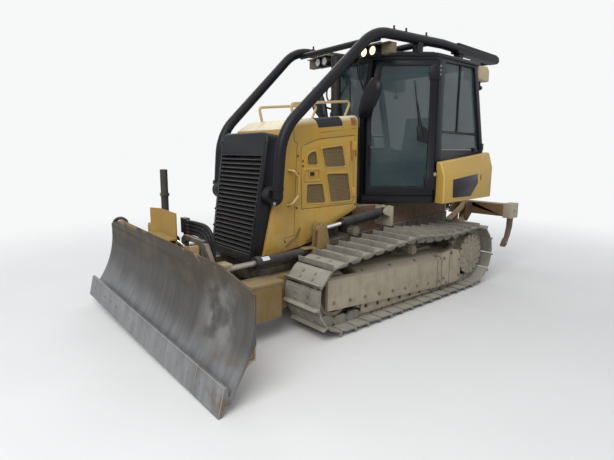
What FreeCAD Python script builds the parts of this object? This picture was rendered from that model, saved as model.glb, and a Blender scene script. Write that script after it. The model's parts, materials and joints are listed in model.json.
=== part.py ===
"""A small crawler dozer with a power-angle-tilt blade, cab, sweeps and rear ripper.

Millimetres. +Z is up, the front of the machine is towards -Y, and the driver's left is +X.
The origin is on the ground under the middle of the machine. Each function below makes one
piece or one family of like pieces, and save() writes it as a node of its own.
"""
import FreeCAD, Part
import math
import os

os.makedirs("parts", exist_ok=True)

# Tracks, in the YZ plane, with the front idler and the rear sprocket both touching the ground line
TRACK_X = 750.0          # middle of each track from the machine's middle
SHOE_WIDTH = 440.0
SHOE_COUNT = 37
GROUSER = 41.0
SHOE_PLATE = 9.0
LINK_UP = 45.0           # pin line to the underside of the shoe
LINK_DOWN = 46.0         # pin line to the running face of the rail
PIN_DEPTH = GROUSER + SHOE_PLATE + LINK_UP
RAIL_NEAR = 62.0         # each rail's near and far face from the middle of the track
RAIL_FAR = 92.0
IDLER_Y, IDLER_Z = -980.0, 345.0
SPROCKET_Y, SPROCKET_Z = 1182.0, 378.0
CARRIER_Y = 97.0
CARRIER_LIFT = 692.0     # height of the pin line over the carrier roller
TOP_SAG = 34.0
HUB_R = 228.0            # final drive drum
FRAME_INNER = 604.0      # inner face of the track frame, from the machine's middle
ROLLING_GAP = 1.5        # between the rails and what they run on

# Hull and hood
HULL_HALF = 365.0
CLEARANCE = 332.0        # under the belly
HOOD_HALF = 420.0
HOOD_FRONT_HALF = 384.0
HOOD_REAR_Y = -275.0
HOOD_WALL = 26.0
ENGINE_HINGE_X = HOOD_HALF + 11
ENGINE_DOOR_FRONT_Y, ENGINE_DOOR_HINGE_Y = -980.0, -312.0
NOSE_LOW = (-1506.0, 610.0)    # front face of the radiator guard, low and high (y, z)
NOSE_HIGH = (-1320.0, 1720.0)
GUARD_DEPTH = 160.0
GUARD_HALF_LOW, GUARD_HALF_HIGH = 352.0, 378.0
GUARD_RIM = 38.0
SLAT_COUNT = 21
SLAT_PITCH = 40.0
BLANK_PANEL = 205.0      # height of the closed panel over the slats

# Cab, in plan and height
POST_A_LOW = (222.0, 30.0)     # front post at sill height (x, y)
POST_A_HIGH = (292.0, 88.0)
POST_B = (722.0, 582.0)
CAB_SILL, CAB_HEAD = 1000.0, 2500.0
WAIST = 1565.0                 # sill of the rear side windows
POST_C_LOW_Y, POST_C_HIGH_Y = 1600.0, 1345.0
KNEE_Z = 1880.0                # height at which the front post starts to lean back
DOOR_BOTTOM, DOOR_TOP = 1088.0, 2460.0
DOOR_THICK = 42.0
DOOR_LOW_WIDTH, DOOR_HIGH_WIDTH = 722.0, 632.0    # along the slanting side, below the knee and at the top

# Sweeps: points of the left tube's middle line, from its foot over the front corner to the rear
SWEEP_PATH = [(486.0, -1316.0, 1160.0), (494.0, -1263.0, 1713.0), (576.0, -250.0, 2640.0),
              (580.0, 850.0, 2682.0), (576.0, 1990.0, 2654.0)]
SWEEP_R = 48.0
SWEEP_BEND = 500.0

# Blade
BLADE_WIDTH = 2646.0
BLADE_EDGE_Y = -2383.0
BLADE_HEIGHT = 812.0
BLADE_TOP_SET = 245.0          # top edge behind the cutting edge
BLADE_DEPTH = 92.0             # how far the curve is hollowed behind its chord
BLADE_SKIN = 14.0
END_PLATE = 24.0
LIFT_RING_R = 50.0             # hole of the ring at the blade's right end
LIFT_RING = (-2045.0, 704.0)   # its middle (y, z), on a blade that stands level
BLADE_REST_TILT = 2.1          # degrees, left end low
BLADE_REST_LIFT = 50.0         # middle of the cutting edge above the ground
TILT_Z = 330.0                 # height of the tilt axis
TRUNNION_R = 70.0
RUNNING_GAP = 0.06             # radial, at pins that are modelled

# Push frame
PIVOT_Y, PIVOT_Z = -150.0, 430.0
ARM_IN, ARM_OUT = 430.0, 515.0
SWIVEL_Y = -1880.0             # vertical axis that the blade angles about

# Cylinders: barrel pin and rod eye, as (x, y, z)
LIFT_BARREL = (482.0, 60.0, 935.0)
LIFT_EYE = (482.0, -820.0, 845.0)
ANGLE_BARREL = (452.0, -985.0, 645.0)
ANGLE_EYE = (505.0, -1862.0, 645.0)
TILT_BARREL = (-430.0, -2012.0, 890.0)
TILT_EYE = (280.0, -2012.0, 775.0)
RIPPER_BARREL = (0.0, 1640.0, 950.0)
RIPPER_EYE = (0.0, 2110.0, 760.0)

# Ripper
LINK_FRONT = (1650.0, 440.0)   # lower link's pin on the machine (y, z)
LINK_REAR = (2100.0, 640.0)
LINK_RISE = 190.0              # upper link above the lower
LINK_PIN_R = 20.0
BAR_Y, BAR_Z = 2285.0, 780.0
BAR_HALF = 855.0


def vec(x, y, z):
    return FreeCAD.Vector(x, y, z)


def box(x0, x1, y0, y1, z0, z1):
    return Part.makeBox(x1 - x0, y1 - y0, z1 - z0, vec(x0, y0, z0))


def rod_between(start, end, radius):
    a = vec(*start)
    b = vec(*end)
    return Part.makeCylinder(radius, (b - a).Length, a, b - a)


def face_of(points):
    return Part.Face(Part.makePolygon(points + [points[0]]))


def prism_x(outline, x0, x1):
    """Outline of (y, z) points, extruded from x0 to x1."""
    return face_of([vec(x0, y, z) for y, z in outline]).extrude(vec(x1 - x0, 0, 0))


def prism_y(outline, y0, y1):
    """Outline of (x, z) points, extruded from y0 to y1."""
    return face_of([vec(x, y0, z) for x, z in outline]).extrude(vec(0, y1 - y0, 0))


def prism_z(outline, z0, z1):
    """Outline of (x, y) points, extruded from z0 to z1."""
    return face_of([vec(x, y, z0) for x, y in outline]).extrude(vec(0, 0, z1 - z0))


def fused(shapes):
    whole = shapes[0]
    if len(shapes) > 1:
        whole = whole.fuse(shapes[1:])
    return whole.removeSplitter()


def mirrored(shape):
    return shape.mirror(vec(0, 0, 0), vec(1, 0, 0))


def both_sides(shape):
    return Part.makeCompound([shape, mirrored(shape)])


def turned(shape, centre, axis, degrees):
    copy = shape.copy()
    copy.rotate(vec(*centre), vec(*axis), degrees)
    return copy


def pipe(points, radius, bend):
    """Round bar along straight runs that are joined by tangent arcs of one bend radius."""
    nodes = [vec(*p) for p in points]
    edges = []
    here = nodes[0]
    for i in range(1, len(nodes) - 1):
        back = (nodes[i - 1] - nodes[i]).normalize()
        ahead = (nodes[i + 1] - nodes[i]).normalize()
        half = back.getAngle(ahead) / 2
        reach = bend / math.tan(half)
        enter = nodes[i] + back * reach
        leave = nodes[i] + ahead * reach
        inward = (back + ahead).normalize()
        middle = nodes[i] + inward * (bend / math.sin(half) - bend)
        edges.append(Part.LineSegment(here, enter).toShape())
        edges.append(Part.Arc(enter, middle, leave).toShape())
        here = leave
    edges.append(Part.LineSegment(here, nodes[-1]).toShape())
    path = Part.Wire(edges)
    circle = Part.Circle(nodes[0], nodes[1] - nodes[0], radius)
    profile = Part.Wire([circle.toShape()])
    return path.makePipeShell([profile], True, True)


def save(node, shape):
    shape.exportStep("parts/" + node + ".step")
    print(node, len(shape.Solids), "solids", len(shape.Faces), "faces", shape.isValid())


# Tracks

def track_curve():
    """Fine points of the pin line, from the front along the ground, round the sprocket and back."""
    idler_r = IDLER_Z - PIN_DEPTH
    sprocket_r = SPROCKET_Z - PIN_DEPTH
    lean = math.atan2(CARRIER_LIFT - IDLER_Z - idler_r, CARRIER_Y - IDLER_Y)
    points = [(IDLER_Y, PIN_DEPTH)]
    for k in range(61):
        a = math.radians(-90 + 3 * k)
        points.append((SPROCKET_Y + sprocket_r * math.cos(a), SPROCKET_Z + sprocket_r * math.sin(a)))
    top = SPROCKET_Z + sprocket_r
    for k in range(1, 41):
        t = k / 40
        sag = TOP_SAG * 4 * t * (1 - t)
        points.append((SPROCKET_Y + (CARRIER_Y - SPROCKET_Y) * t, top + (CARRIER_LIFT - top) * t - sag))
    for k in range(61):
        a = math.pi / 2 + lean + (math.pi - lean) * k / 60
        points.append((IDLER_Y + idler_r * math.cos(a), IDLER_Z + idler_r * math.sin(a)))
    return points


def track_pins():
    """Pins at equal steps along the curve."""
    curve = track_curve()
    spans = [math.dist(curve[i], curve[i + 1]) for i in range(len(curve) - 1)]
    step = sum(spans) / SHOE_COUNT
    pins = []
    travelled = 0.0
    for (a, b, span) in zip(curve, curve[1:], spans):
        while len(pins) < SHOE_COUNT and len(pins) * step <= travelled + span:
            t = (len(pins) * step - travelled) / max(span, 1e-9)
            pins.append((a[0] + (b[0] - a[0]) * t, a[1] + (b[1] - a[1]) * t))
        travelled += span
    return pins


def link_frames():
    """For each link: its middle, its direction of travel and its outward normal."""
    pins = track_pins()
    frames = []
    for a, b in zip(pins, pins[1:] + pins[:1]):
        length = math.dist(a, b)
        along = ((b[0] - a[0]) / length, (b[1] - a[1]) / length)
        frames.append((((a[0] + b[0]) / 2, (a[1] + b[1]) / 2), along, (along[1], -along[0]), length))
    return frames


def link_outline(profile):
    """Repeat a profile of (share of pitch, height over the pin line) points round the loop."""
    outline = []
    for middle, along, out, length in link_frames():
        for share, height in profile:
            s = share * length
            outline.append((middle[0] + along[0] * s + out[0] * height,
                            middle[1] + along[1] * s + out[1] * height))
    return outline


def track(side):
    shoe_top = LINK_UP + SHOE_PLATE
    tip = shoe_top + GROUSER
    outside = link_outline([(-0.47, shoe_top), (0.30, shoe_top + 1), (0.37, tip), (0.43, tip),
                            (0.47, shoe_top)])
    inside = link_outline([(-0.47, LINK_UP - 4), (0.47, LINK_UP - 4)])
    rail = link_outline([(-0.40, -28), (-0.26, -LINK_DOWN), (0.26, -LINK_DOWN), (0.40, -28)])
    x0 = TRACK_X - SHOE_WIDTH / 2
    x1 = TRACK_X + SHOE_WIDTH / 2
    belt = prism_x(outside, x0, x1).cut(prism_x(inside, x0 - 1, x1 + 1))
    rails = []
    for near in (TRACK_X + RAIL_NEAR, TRACK_X - RAIL_FAR):
        far = near + RAIL_FAR - RAIL_NEAR
        rails.append(prism_x(inside, near, far).cut(prism_x(rail, near - 1, far + 1)))
    loop = belt.fuse(rails)
    return loop if side > 0 else mirrored(loop)


def chord_drop(radius):
    """How far the middle of a link lies inside the arc that its pins follow."""
    pitch = link_frames()[0][3]
    return radius - math.sqrt(radius ** 2 - (pitch / 2) ** 2)


def idler():
    """Front wheel with a middle flange between the rails and a dished web."""
    arc = IDLER_Z - PIN_DEPTH
    tread = arc - chord_drop(arc) - LINK_DOWN - ROLLING_GAP
    # columns: distance from the middle of the track, radius
    half = [(-112, 0), (-112, 62), (-70, 62), (-40, 90), (-40, tread - 40), (-96, tread - 28),
            (-96, tread), (-50, tread), (-44, tread + 20), (44, tread + 20), (50, tread), (96, tread),
            (96, tread - 28), (40, tread - 40), (40, 90), (70, 62), (112, 62), (112, 0)]
    face = face_of([vec(TRACK_X + dx, IDLER_Y, IDLER_Z + r) for dx, r in half])
    return face.revolve(vec(TRACK_X, IDLER_Y, IDLER_Z), vec(1, 0, 0), 360)


def sprocket():
    """Toothed ring bolted to the final drive drum, whose outer rim is notched."""
    teeth = 22
    root = SPROCKET_Z - PIN_DEPTH - 30
    tip = SPROCKET_Z - PIN_DEPTH + 12
    outline = []
    for k in range(teeth):
        for share, radius in ((-0.36, root), (-0.14, tip), (0.14, tip), (0.36, root)):
            a = 2 * math.pi * (k + share) / teeth
            outline.append((SPROCKET_Y + radius * math.cos(a), SPROCKET_Z + radius * math.sin(a)))
    ring = prism_x(outline, TRACK_X - 27, TRACK_X + 27)
    centre = (SPROCKET_Y, SPROCKET_Z)
    hub = rod_between((TRACK_X - 190, *centre), (TRACK_X + 96, *centre), HUB_R - 8)
    rim = rod_between((TRACK_X + 96, *centre), (TRACK_X + 128, *centre), HUB_R)
    notches = []
    for k in range(16):
        notch = box(TRACK_X + 90, TRACK_X + 140, -12, 12, HUB_R - 34, HUB_R + 10)
        notch.translate(vec(0, SPROCKET_Y, SPROCKET_Z))
        notches.append(turned(notch, (0, *centre), (1, 0, 0), 360 * k / 16))
    cap = rod_between((TRACK_X + 128, *centre), (TRACK_X + 142, *centre), 96)
    return fused([ring, hub, rim.cut(notches[0].fuse(notches[1:])), cap])


def track_rollers():
    """Six bottom rollers a side and one carrier roller under the top run."""
    pieces = []
    bottom_r = 78.0
    bottom_z = PIN_DEPTH + LINK_DOWN + ROLLING_GAP + bottom_r
    for k in range(6):
        y = -640 + 290 * k
        # columns: distance from the middle of the track, radius
        half = [(-104, 0), (-104, 34), (-96, 34), (-96, bottom_r), (-56, bottom_r), (-52, bottom_r + 16),
                (-34, bottom_r + 16), (-30, bottom_r - 12), (30, bottom_r - 12), (34, bottom_r + 16),
                (52, bottom_r + 16), (56, bottom_r), (96, bottom_r), (96, 34), (104, 34), (104, 0)]
        face = face_of([vec(TRACK_X + dx, y, bottom_z + r) for dx, r in half])
        pieces.append(face.revolve(vec(TRACK_X, y, bottom_z), vec(1, 0, 0), 360))
    carrier_r = 52.0
    carrier_z = CARRIER_LIFT - LINK_DOWN - 14 - carrier_r
    centre = (CARRIER_Y, carrier_z)
    body = rod_between((TRACK_X - 98, *centre), (TRACK_X + 98, *centre), carrier_r)
    cap = rod_between((TRACK_X + 98, *centre), (TRACK_X + 118, *centre), carrier_r - 8)
    stub = rod_between((TRACK_X - 160, *centre), (TRACK_X - 98, *centre), 22)
    stand = box(TRACK_X - 160, TRACK_X - 130, CARRIER_Y - 45, CARRIER_Y + 45, 505, carrier_z + 24)
    pieces.append(fused([body, cap, stub, stand]))
    left = Part.makeCompound(pieces)
    return Part.makeCompound([left, mirrored(left)])


def track_frame():
    """Box beam over the rollers, its sloped outer guard, and the plates that hold the idler."""
    front_y, rear_y = -1110.0, 560.0
    beam_low = 336.0
    # columns: x, z of the section at the front end, then at the rear seam
    section_front = [(640, beam_low), (640, 546), (806, 546), (900, 500), (900, 236), (864, 236),
                     (864, beam_low)]
    section_rear = [(640, beam_low), (640, 474), (806, 474), (900, 408), (900, 116), (864, 116),
                    (864, beam_low)]
    wires = [Part.makePolygon([vec(x, front_y, z) for x, z in section_front + section_front[:1]]),
             Part.makePolygon([vec(x, rear_y, z) for x, z in section_rear + section_rear[:1]])]
    beam = Part.makeLoft(wires, True, True)
    idler_room = box(600, 863, front_y - 10, IDLER_Y + 250, 200, 700)
    beam = beam.cut(idler_room)
    inner_plate = prism_x([(front_y, 250), (front_y, 430), (-960, 500), (700, 500), (860, 300), (860, 200),
                           (front_y + 60, 200)], FRAME_INNER, FRAME_INNER + 32)
    inner_web = box(630, 645, -700, 550, 345, 470)
    bridge = box(FRAME_INNER, 864, 556, 862, 345, 470)
    cover_outline = [(566, 122), (566, 470), (760, 500), (880, 470), (934, 392), (934, 130), (880, 112)]
    cover = prism_x(cover_outline, 858, 900)
    cover = cover.cut(rod_between((850, SPROCKET_Y, SPROCKET_Z), (910, SPROCKET_Y, SPROCKET_Z), HUB_R + 24))
    axle = rod_between((606, IDLER_Y, IDLER_Z), (637, IDLER_Y, IDLER_Z), 58)
    axle_out = rod_between((863, IDLER_Y, IDLER_Z), (899, IDLER_Y, IDLER_Z), 58)
    left = fused([beam, inner_plate, inner_web, bridge, cover, axle, axle_out])
    return both_sides(left)


# Hull, hood and nose

def main_frame():
    """Welded case between the tracks with cross beams to the track frames and the drive tubes."""
    belly = prism_x([(-1400, 470), (-1340, 372), (-1200, CLEARANCE), (1300, CLEARANCE), (1460, 430),
                     (1460, 800), (-1400, 640)], -HULL_HALF, HULL_HALF)
    upper = box(-330, 330, -240, 1440, 640, 985)
    pieces = [belly, upper]
    for y0, y1 in ((40, 190), (640, 800)):
        pieces.append(box(-FRAME_INNER, FRAME_INNER, y0, y1, 372, 470))
    for side in (-1, 1):
        drive_end = side * (TRACK_X - 190)
        pieces.append(rod_between((0, SPROCKET_Y, SPROCKET_Z), (drive_end, SPROCKET_Y, SPROCKET_Z), 170))
        pin_in, pin_out = side * 300, side * (ARM_OUT + 12)
        pieces.append(rod_between((pin_in, PIVOT_Y, PIVOT_Z), (pin_out, PIVOT_Y, PIVOT_Z), 38))
        pieces.append(rod_between((pin_in, PIVOT_Y, PIVOT_Z), (side * (ARM_IN - 4), PIVOT_Y, PIVOT_Z), 85))
    # stands for the lift cylinders
    x, y, z = LIFT_BARREL
    for side in (-1, 1):
        pieces.append(box(min(side * 300, side * 545), max(side * 300, side * 545), y + 62, y + 100, 780, 985))
        for cheek in (-1, 1):
            inner, outer = sorted((side * x + cheek * 32, side * x + cheek * 54))
            pieces.append(prism_x([(y, z - 36), (y, z + 36), (y + 64, z + 60), (y + 64, z - 60)], inner, outer))
            pieces.append(rod_between((inner, y, z), (outer, y, z), 36))
    return fused(pieces).cut(guard_block())


def hood_outline(inset):
    """Side view of the hood, as (y, z), moved in by inset."""
    return [(-1390 + inset * 1.2, 652 + inset), (-1212 + inset, 1395), (-1134 + inset, 1742 - inset),
            (-1008 + inset * 0.3, 1830 - inset), (HOOD_REAR_Y, 1898 - inset),
            (HOOD_REAR_Y, 992), (-560, 880), (-800, 742), (-1010, 690), (-1210, 668)]


def hood_taper(inset):
    """Cutters that narrow the hood towards the nose."""
    rear = HOOD_HALF - inset
    front = HOOD_FRONT_HALF - inset
    cutters = []
    for side in (-1, 1):
        plan = [(side * rear, HOOD_REAR_Y + 50), (side * rear, HOOD_REAR_Y - 120), (side * front, -1420),
                (side * 600, -1420), (side * 600, HOOD_REAR_Y + 50)]
        cutters.append(prism_z(plan, 500, 2000))
    return cutters


def door_opening(grow):
    """Engine door in side view, as (y, z)."""
    front, rear, low = ENGINE_DOOR_FRONT_Y - grow, ENGINE_DOOR_HINGE_Y + grow, 1032 - grow
    return [(front, low), (front, 1572 + grow * 0.4), (front + 50, 1612 + grow), (-770, 1664 + grow),
            (rear, 1708 + grow), (rear, low)]


def hood():
    """Engine cover: one sheet-metal box with a rounded top, open below and at the engine doors."""
    outer = prism_x(hood_outline(0), -HOOD_HALF, HOOD_HALF)
    for cutter in hood_taper(0):
        outer = outer.cut(cutter)
    edges = []
    for edge in outer.Edges:
        a, b = edge.Vertexes[0].Point, edge.Vertexes[-1].Point
        if abs(a.z - b.z) < 120 and min(a.z, b.z) > 1800 and abs(a.y - b.y) > 300 and abs(a.x) > 300:
            edges.append(edge)
    if edges:
        outer = outer.makeFillet(70, edges)
    inner = prism_x([(-1420, 500), (-1212 + HOOD_WALL, 1395), (-1134 + HOOD_WALL, 1742 - HOOD_WALL),
                     (-1000, 1804), (-200, 1872), (-200, 500)], -HOOD_HALF + HOOD_WALL, HOOD_HALF - HOOD_WALL)
    for cutter in hood_taper(HOOD_WALL):
        inner = inner.cut(cutter)
    shell = outer.cut(inner)
    rear_wall = box(-HOOD_HALF + 10, HOOD_HALF - 10, HOOD_REAR_Y - 20, HOOD_REAR_Y, 992, 1850)
    opening = prism_x(door_opening(0), -500, 500)
    return fused([shell.cut(opening), rear_wall]).cut(guard_block())


def engine_door():
    """Left side door with four mesh windows and a latch plate."""
    thick = 22.0
    y0, y1 = ENGINE_DOOR_FRONT_Y, ENGINE_DOOR_HINGE_Y
    panel = prism_x(door_opening(-6), HOOD_HALF - 90, HOOD_HALF + 10)
    ahead, behind = y0 - 40, y1 + 40
    face_front, face_rear = hood_half_at(ahead) + 1, hood_half_at(behind) + 1
    outside = prism_z([(face_front, ahead), (face_rear, behind), (600, behind), (600, ahead)], 900, 1900)
    inside = prism_z([(face_front - thick, ahead), (face_rear - thick, behind), (200, behind), (200, ahead)],
                     900, 1900)
    panel = panel.cut([outside, inside])
    # columns: corners of each window as (y, z)
    windows = [
        [(-912, 1426), (-912, 1516), (-862, 1552), (-802, 1560), (-778, 1424)],
        [(-698, 1402), (-747, 1580), (-476, 1610), (-428, 1402)],
        [(-926, 1082), (-920, 1263), (-722, 1260), (-684, 1066)],
        [(-628, 1068), (-683, 1350), (-398, 1347), (-346, 1068)],
    ]
    for corners in windows:
        panel = panel.cut(prism_x(corners, 300, 500))
    screens = []
    for corners in windows:
        middle_y = sum(y for y, z in corners) / len(corners)
        middle_z = sum(z for y, z in corners) / len(corners)
        grown = [(middle_y + (y - middle_y) * 1.04, middle_z + (z - middle_z) * 1.04) for y, z in corners]
        depth = hood_half_at(middle_y) - 14
        screens.append(prism_x(grown, depth - 5, depth + 1))
    latch = box(hood_half_at(-865) - 6, hood_half_at(-865) + 12, -898, -832, 1322, 1380)
    hinges = []
    for z in (1110, 1560):
        hinges.append(rod_between((ENGINE_HINGE_X, y1, z), (ENGINE_HINGE_X, y1, z + 90), 9))
        hinges.append(box(HOOD_HALF - 4, HOOD_HALF + 6, y1 - 40, y1 - 6, z, z + 90))
        hinges.append(prism_z([(HOOD_HALF + 1, y1 - 30), (HOOD_HALF + 8, y1 - 30), (ENGINE_HINGE_X + 2, y1 - 4),
                               (ENGINE_HINGE_X - 6, y1 - 4)], z, z + 90))
    return fused([panel] + screens + [latch] + hinges)


def hood_half_at(y):
    rear_y = HOOD_REAR_Y - 120
    if y >= rear_y:
        return HOOD_HALF
    return HOOD_HALF + (HOOD_FRONT_HALF - HOOD_HALF) * (rear_y - y) / (rear_y + 1420)


def on_nose(shape):
    """Stand a piece built upright, with its front foot at the origin, on the leaning nose line."""
    lean = math.degrees(math.atan2(NOSE_HIGH[0] - NOSE_LOW[0], NOSE_HIGH[1] - NOSE_LOW[1]))
    leaned = turned(shape, (0, 0, 0), (1, 0, 0), -lean)
    leaned.translate(vec(0, NOSE_LOW[0], NOSE_LOW[1]))
    return leaned


def guard_upright():
    """Outer form of the radiator guard, before it is hollowed and leaned back."""
    height = math.dist(NOSE_LOW, NOSE_HIGH)
    low, high = GUARD_HALF_LOW, GUARD_HALF_HIGH
    corner = [(high, height - 84), (high - 12, height - 40), (high - 44, height - 11), (high - 88, height)]
    outer = [(-low, 0), (low, 0)] + corner + [(-x, z) for x, z in reversed(corner)]
    block = prism_y(outer, 0, GUARD_DEPTH)
    rounded = []
    for edge in block.Edges:
        ends = [vertex.Point for vertex in edge.Vertexes]
        in_front = all(abs(point.y) < 1 for point in ends)
        at_foot = all(point.z < 1 for point in ends)
        if in_front and not at_foot:
            rounded.append(edge)
    return block.makeFillet(26, rounded)


def guard_block():
    return on_nose(guard_upright())


def grille_guard():
    """Black radiator guard: a deep frame with a blank upper panel over horizontal louvres."""
    height = math.dist(NOSE_LOW, NOSE_HIGH)
    low, high = GUARD_HALF_LOW, GUARD_HALF_HIGH
    frame = guard_upright()
    rim = GUARD_RIM
    slat_top = height - BLANK_PANEL
    slat_low = slat_top - SLAT_PITCH * SLAT_COUNT - 10
    well = [(-low + rim, slat_low), (low - rim, slat_low), (high - rim - 6, slat_top),
            (-high + rim + 6, slat_top)]
    frame = frame.cut(prism_y(well, -10, GUARD_DEPTH + 10))
    back_hollow = prism_y([(-low + rim, slat_top), (low - rim, slat_top), (high - 60, height - 70),
                           (-high + 60, height - 70)], 24, GUARD_DEPTH + 10)
    frame = frame.cut(back_hollow)
    slats = []
    for k in range(SLAT_COUNT):
        z = slat_low + 12 + SLAT_PITCH * k
        reach = low - rim + 6 + (high - low) * z / height
        blade = box(-reach, reach, 14, 74, -5, 5)
        blade = turned(blade, (0, 14, 0), (1, 0, 0), 38)
        blade.translate(vec(0, 0, z))
        slats.append(blade)
    return on_nose(fused([frame] + slats))


def radiator():
    """Plain cooler core behind the louvres."""
    return on_nose(box(-292, 292, 108, 154, 82, 900))


def engine_block():
    return box(-250, 250, -1040, -360, 700, 1500)


def hood_rail():
    """Bent pipe handrail on the left of the hood top. Its rear leg leans back over the hood's edge."""
    x = 250.0
    return pipe([(x, -935, 1815), (x, -972, 1972), (x, -208, 2044), (x, -302, 1870)], 13, 28)


def grab_handle():
    """Upright grab handle on the hood's left side, ahead of the engine door."""
    x = 380.0
    out = 446.0
    return pipe([(x, -1136, 1076), (out - 6, -1112, 1092), (out, -1046, 1162), (out, -1044, 1330),
                 (out - 6, -1092, 1378), (x, -1124, 1388)], 13, 20)


def outer_part(bar, hood_shape):
    """What is left of a bar outside the hood, without the crumb where its end pokes through."""
    return max(bar.cut(hood_shape).Solids, key=lambda solid: solid.Volume)


def hood_pipes(hood_shape):
    """Handrails and grab handles, cut off where they meet the hood."""
    left = Part.makeCompound([outer_part(bar, hood_shape) for bar in (hood_rail(), grab_handle())])
    return Part.makeCompound(left.Solids + mirrored(left).Solids)


# Cab

def full_plan(grow, rear_y):
    ax, ay = POST_A_LOW
    bx, by = POST_B
    half = [(ax + grow * 0.6, ay - grow), (bx + grow, by - grow * 0.5), (bx + grow, rear_y + grow)]
    return half + [(-x, y) for x, y in reversed(half)]


def post_between(low, high, half_x, half_y):
    """Leaning post of rectangular section between two levels."""
    wires = []
    for x, y, z in (low, high):
        corners = [(x - half_x, y - half_y), (x + half_x, y - half_y), (x + half_x, y + half_y),
                   (x - half_x, y + half_y)]
        wires.append(Part.makePolygon([vec(px, py, z) for px, py in corners + corners[:1]]))
    return Part.makeLoft(wires, True, True)


def cab_frame():
    """Black cab structure: sill tray, posts, waist rails and head ring, grooved for the panes."""
    tray = prism_z(full_plan(0, POST_C_LOW_Y - 40), CAB_SILL, DOOR_BOTTOM - 8)
    head_rear = POST_C_HIGH_Y + 35
    ax, ay = POST_A_LOW
    hx, hy = POST_A_HIGH
    bx, by = POST_B
    head_outer = prism_z([(312, 62), (bx + 4, 560), (bx - 6, head_rear), (-bx + 6, head_rear),
                          (-bx - 4, 560), (-312, 62)], DOOR_TOP + 6, CAB_HEAD)
    head_inner = prism_z([(250, 150), (bx - 86, 590), (bx - 86, head_rear - 90), (-bx + 86, head_rear - 90),
                          (-bx + 86, 590), (-250, 150)], DOOR_TOP - 10, CAB_HEAD - 24)
    pieces = [tray, head_outer.cut(head_inner)]
    left = [
        post_between((ax - 24, ay + 18, CAB_SILL), (ax - 24, ay + 18, KNEE_Z), 26, 30),
        post_between((ax - 24, ay + 18, KNEE_Z), (hx - 34, hy + 14, DOOR_TOP + 20), 26, 30),
        post_between((bx - 34, by + 66, CAB_SILL), (bx - 34, by + 66, DOOR_TOP + 20), 38, 55),
        post_between((bx - 30, POST_C_LOW_Y - 40, WAIST - 30),
                     (bx - 34, POST_C_HIGH_Y - 20, DOOR_TOP + 20), 32, 34),
    ]
    rear = POST_C_LOW_Y - 6
    wall = prism_x([(by + 114, CAB_SILL), (by + 114, WAIST), (rear, WAIST), (rear, CAB_SILL)], bx - 34, bx - 4)
    rail = prism_x([(by + 114, 1742), (by + 114, 1774), (1526, 1760), (1540, 1728)], bx - 44, bx - 18)
    left += [wall, rail]
    left.append(box(bx - 38, bx - 16, 1018, 1042, 1765, DOOR_TOP + 20))
    for piece in left:
        pieces += [piece, mirrored(piece)]
    back = box(-bx + 20, bx - 20, POST_C_LOW_Y - 40, rear, CAB_SILL, WAIST)
    front_low = box(-ax + 10, ax - 10, ay + 2, ay + 26, CAB_SILL, KNEE_Z - 330)
    return fused(pieces + [back, front_low]).cut(cab_glass().Solids)


def cab_glass():
    """Fixed panes: windscreen, rear side windows in three panes a side, and the rear window."""
    ax, ay = POST_A_LOW
    hx, hy = POST_A_HIGH
    bx, by = POST_B
    panes = []
    low_z, high_z = KNEE_Z - 330, DOOR_TOP + 4
    lower = Part.makePolygon([vec(-ax + 54, ay + 10, low_z), vec(ax - 54, ay + 10, low_z),
                              vec(ax - 54, ay + 10, KNEE_Z), vec(-ax + 54, ay + 10, KNEE_Z),
                              vec(-ax + 54, ay + 10, low_z)])
    panes.append(Part.Face(lower).extrude(vec(0, 6, 0)))
    upper = Part.makePolygon([vec(-ax + 54, ay + 10, KNEE_Z + 2), vec(ax - 54, ay + 10, KNEE_Z + 2),
                              vec(hx - 64, hy + 8, high_z), vec(-hx + 64, hy + 8, high_z),
                              vec(-ax + 54, ay + 10, KNEE_Z + 2)])
    panes.append(Part.Face(upper).extrude(vec(0, 6, 0)))
    first = by + 124
    side = [[(first, 1776), (first, DOOR_TOP + 2), (1016, DOOR_TOP + 2), (1016, 1776)],
            [(1044, 1776), (1044, DOOR_TOP + 2), (1292, DOOR_TOP + 2), (1480, 1764)],
            [(first, WAIST + 2), (first, 1738), (1478, 1724), (1536, WAIST + 2)]]
    for corners in side:
        pane = prism_x(corners, bx - 30, bx - 24)
        panes += [pane, mirrored(pane)]
    foot_y, foot_z = POST_C_LOW_Y - 26, WAIST + 2
    back = Part.makePolygon([vec(-bx + 66, foot_y, foot_z), vec(bx - 66, foot_y, foot_z),
                             vec(bx - 70, POST_C_HIGH_Y - 8, high_z), vec(-bx + 70, POST_C_HIGH_Y - 8, high_z),
                             vec(-bx + 66, foot_y, foot_z)])
    panes.append(Part.Face(back).extrude(vec(0, 6, 0)))
    return Part.makeCompound(panes)


def cab_roof():
    """Shallow pressed roof over the head ring."""
    plan = [(300, 30), (560, 330), (735, 560), (735, 1396), (-735, 1396), (-735, 560), (-560, 330), (-300, 30)]
    low = prism_z(plan, CAB_HEAD + 1, CAB_HEAD + 36)
    inner = [(x * 0.9, 90 + (y - 30) * 0.93) for x, y in plan]
    high = prism_z(inner, CAB_HEAD + 36, CAB_HEAD + 58)
    return fused([low, high])


def door_local(s0_low, s1_low, s1_high, z0, z1, knee):
    """Door outline in its own plane: s runs from the rear hinge side to the front edge."""
    return [(s0_low, z0), (s1_low, z0), (s1_low, knee), (s1_high, z1), (s0_low, z1)]


def hang_door(shape):
    """Turn a door built along -Y, with its outer face at x = 0, into the slanting side of the cab."""
    ax, ay = POST_A_LOW
    bx, by = POST_B
    angle = math.degrees(math.atan2(bx - ax, by - ay))
    placed = turned(shape, (0, 0, 0), (0, 0, 1), -angle)
    placed.translate(vec(bx + 26, by - 22, 0))
    return placed


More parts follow.
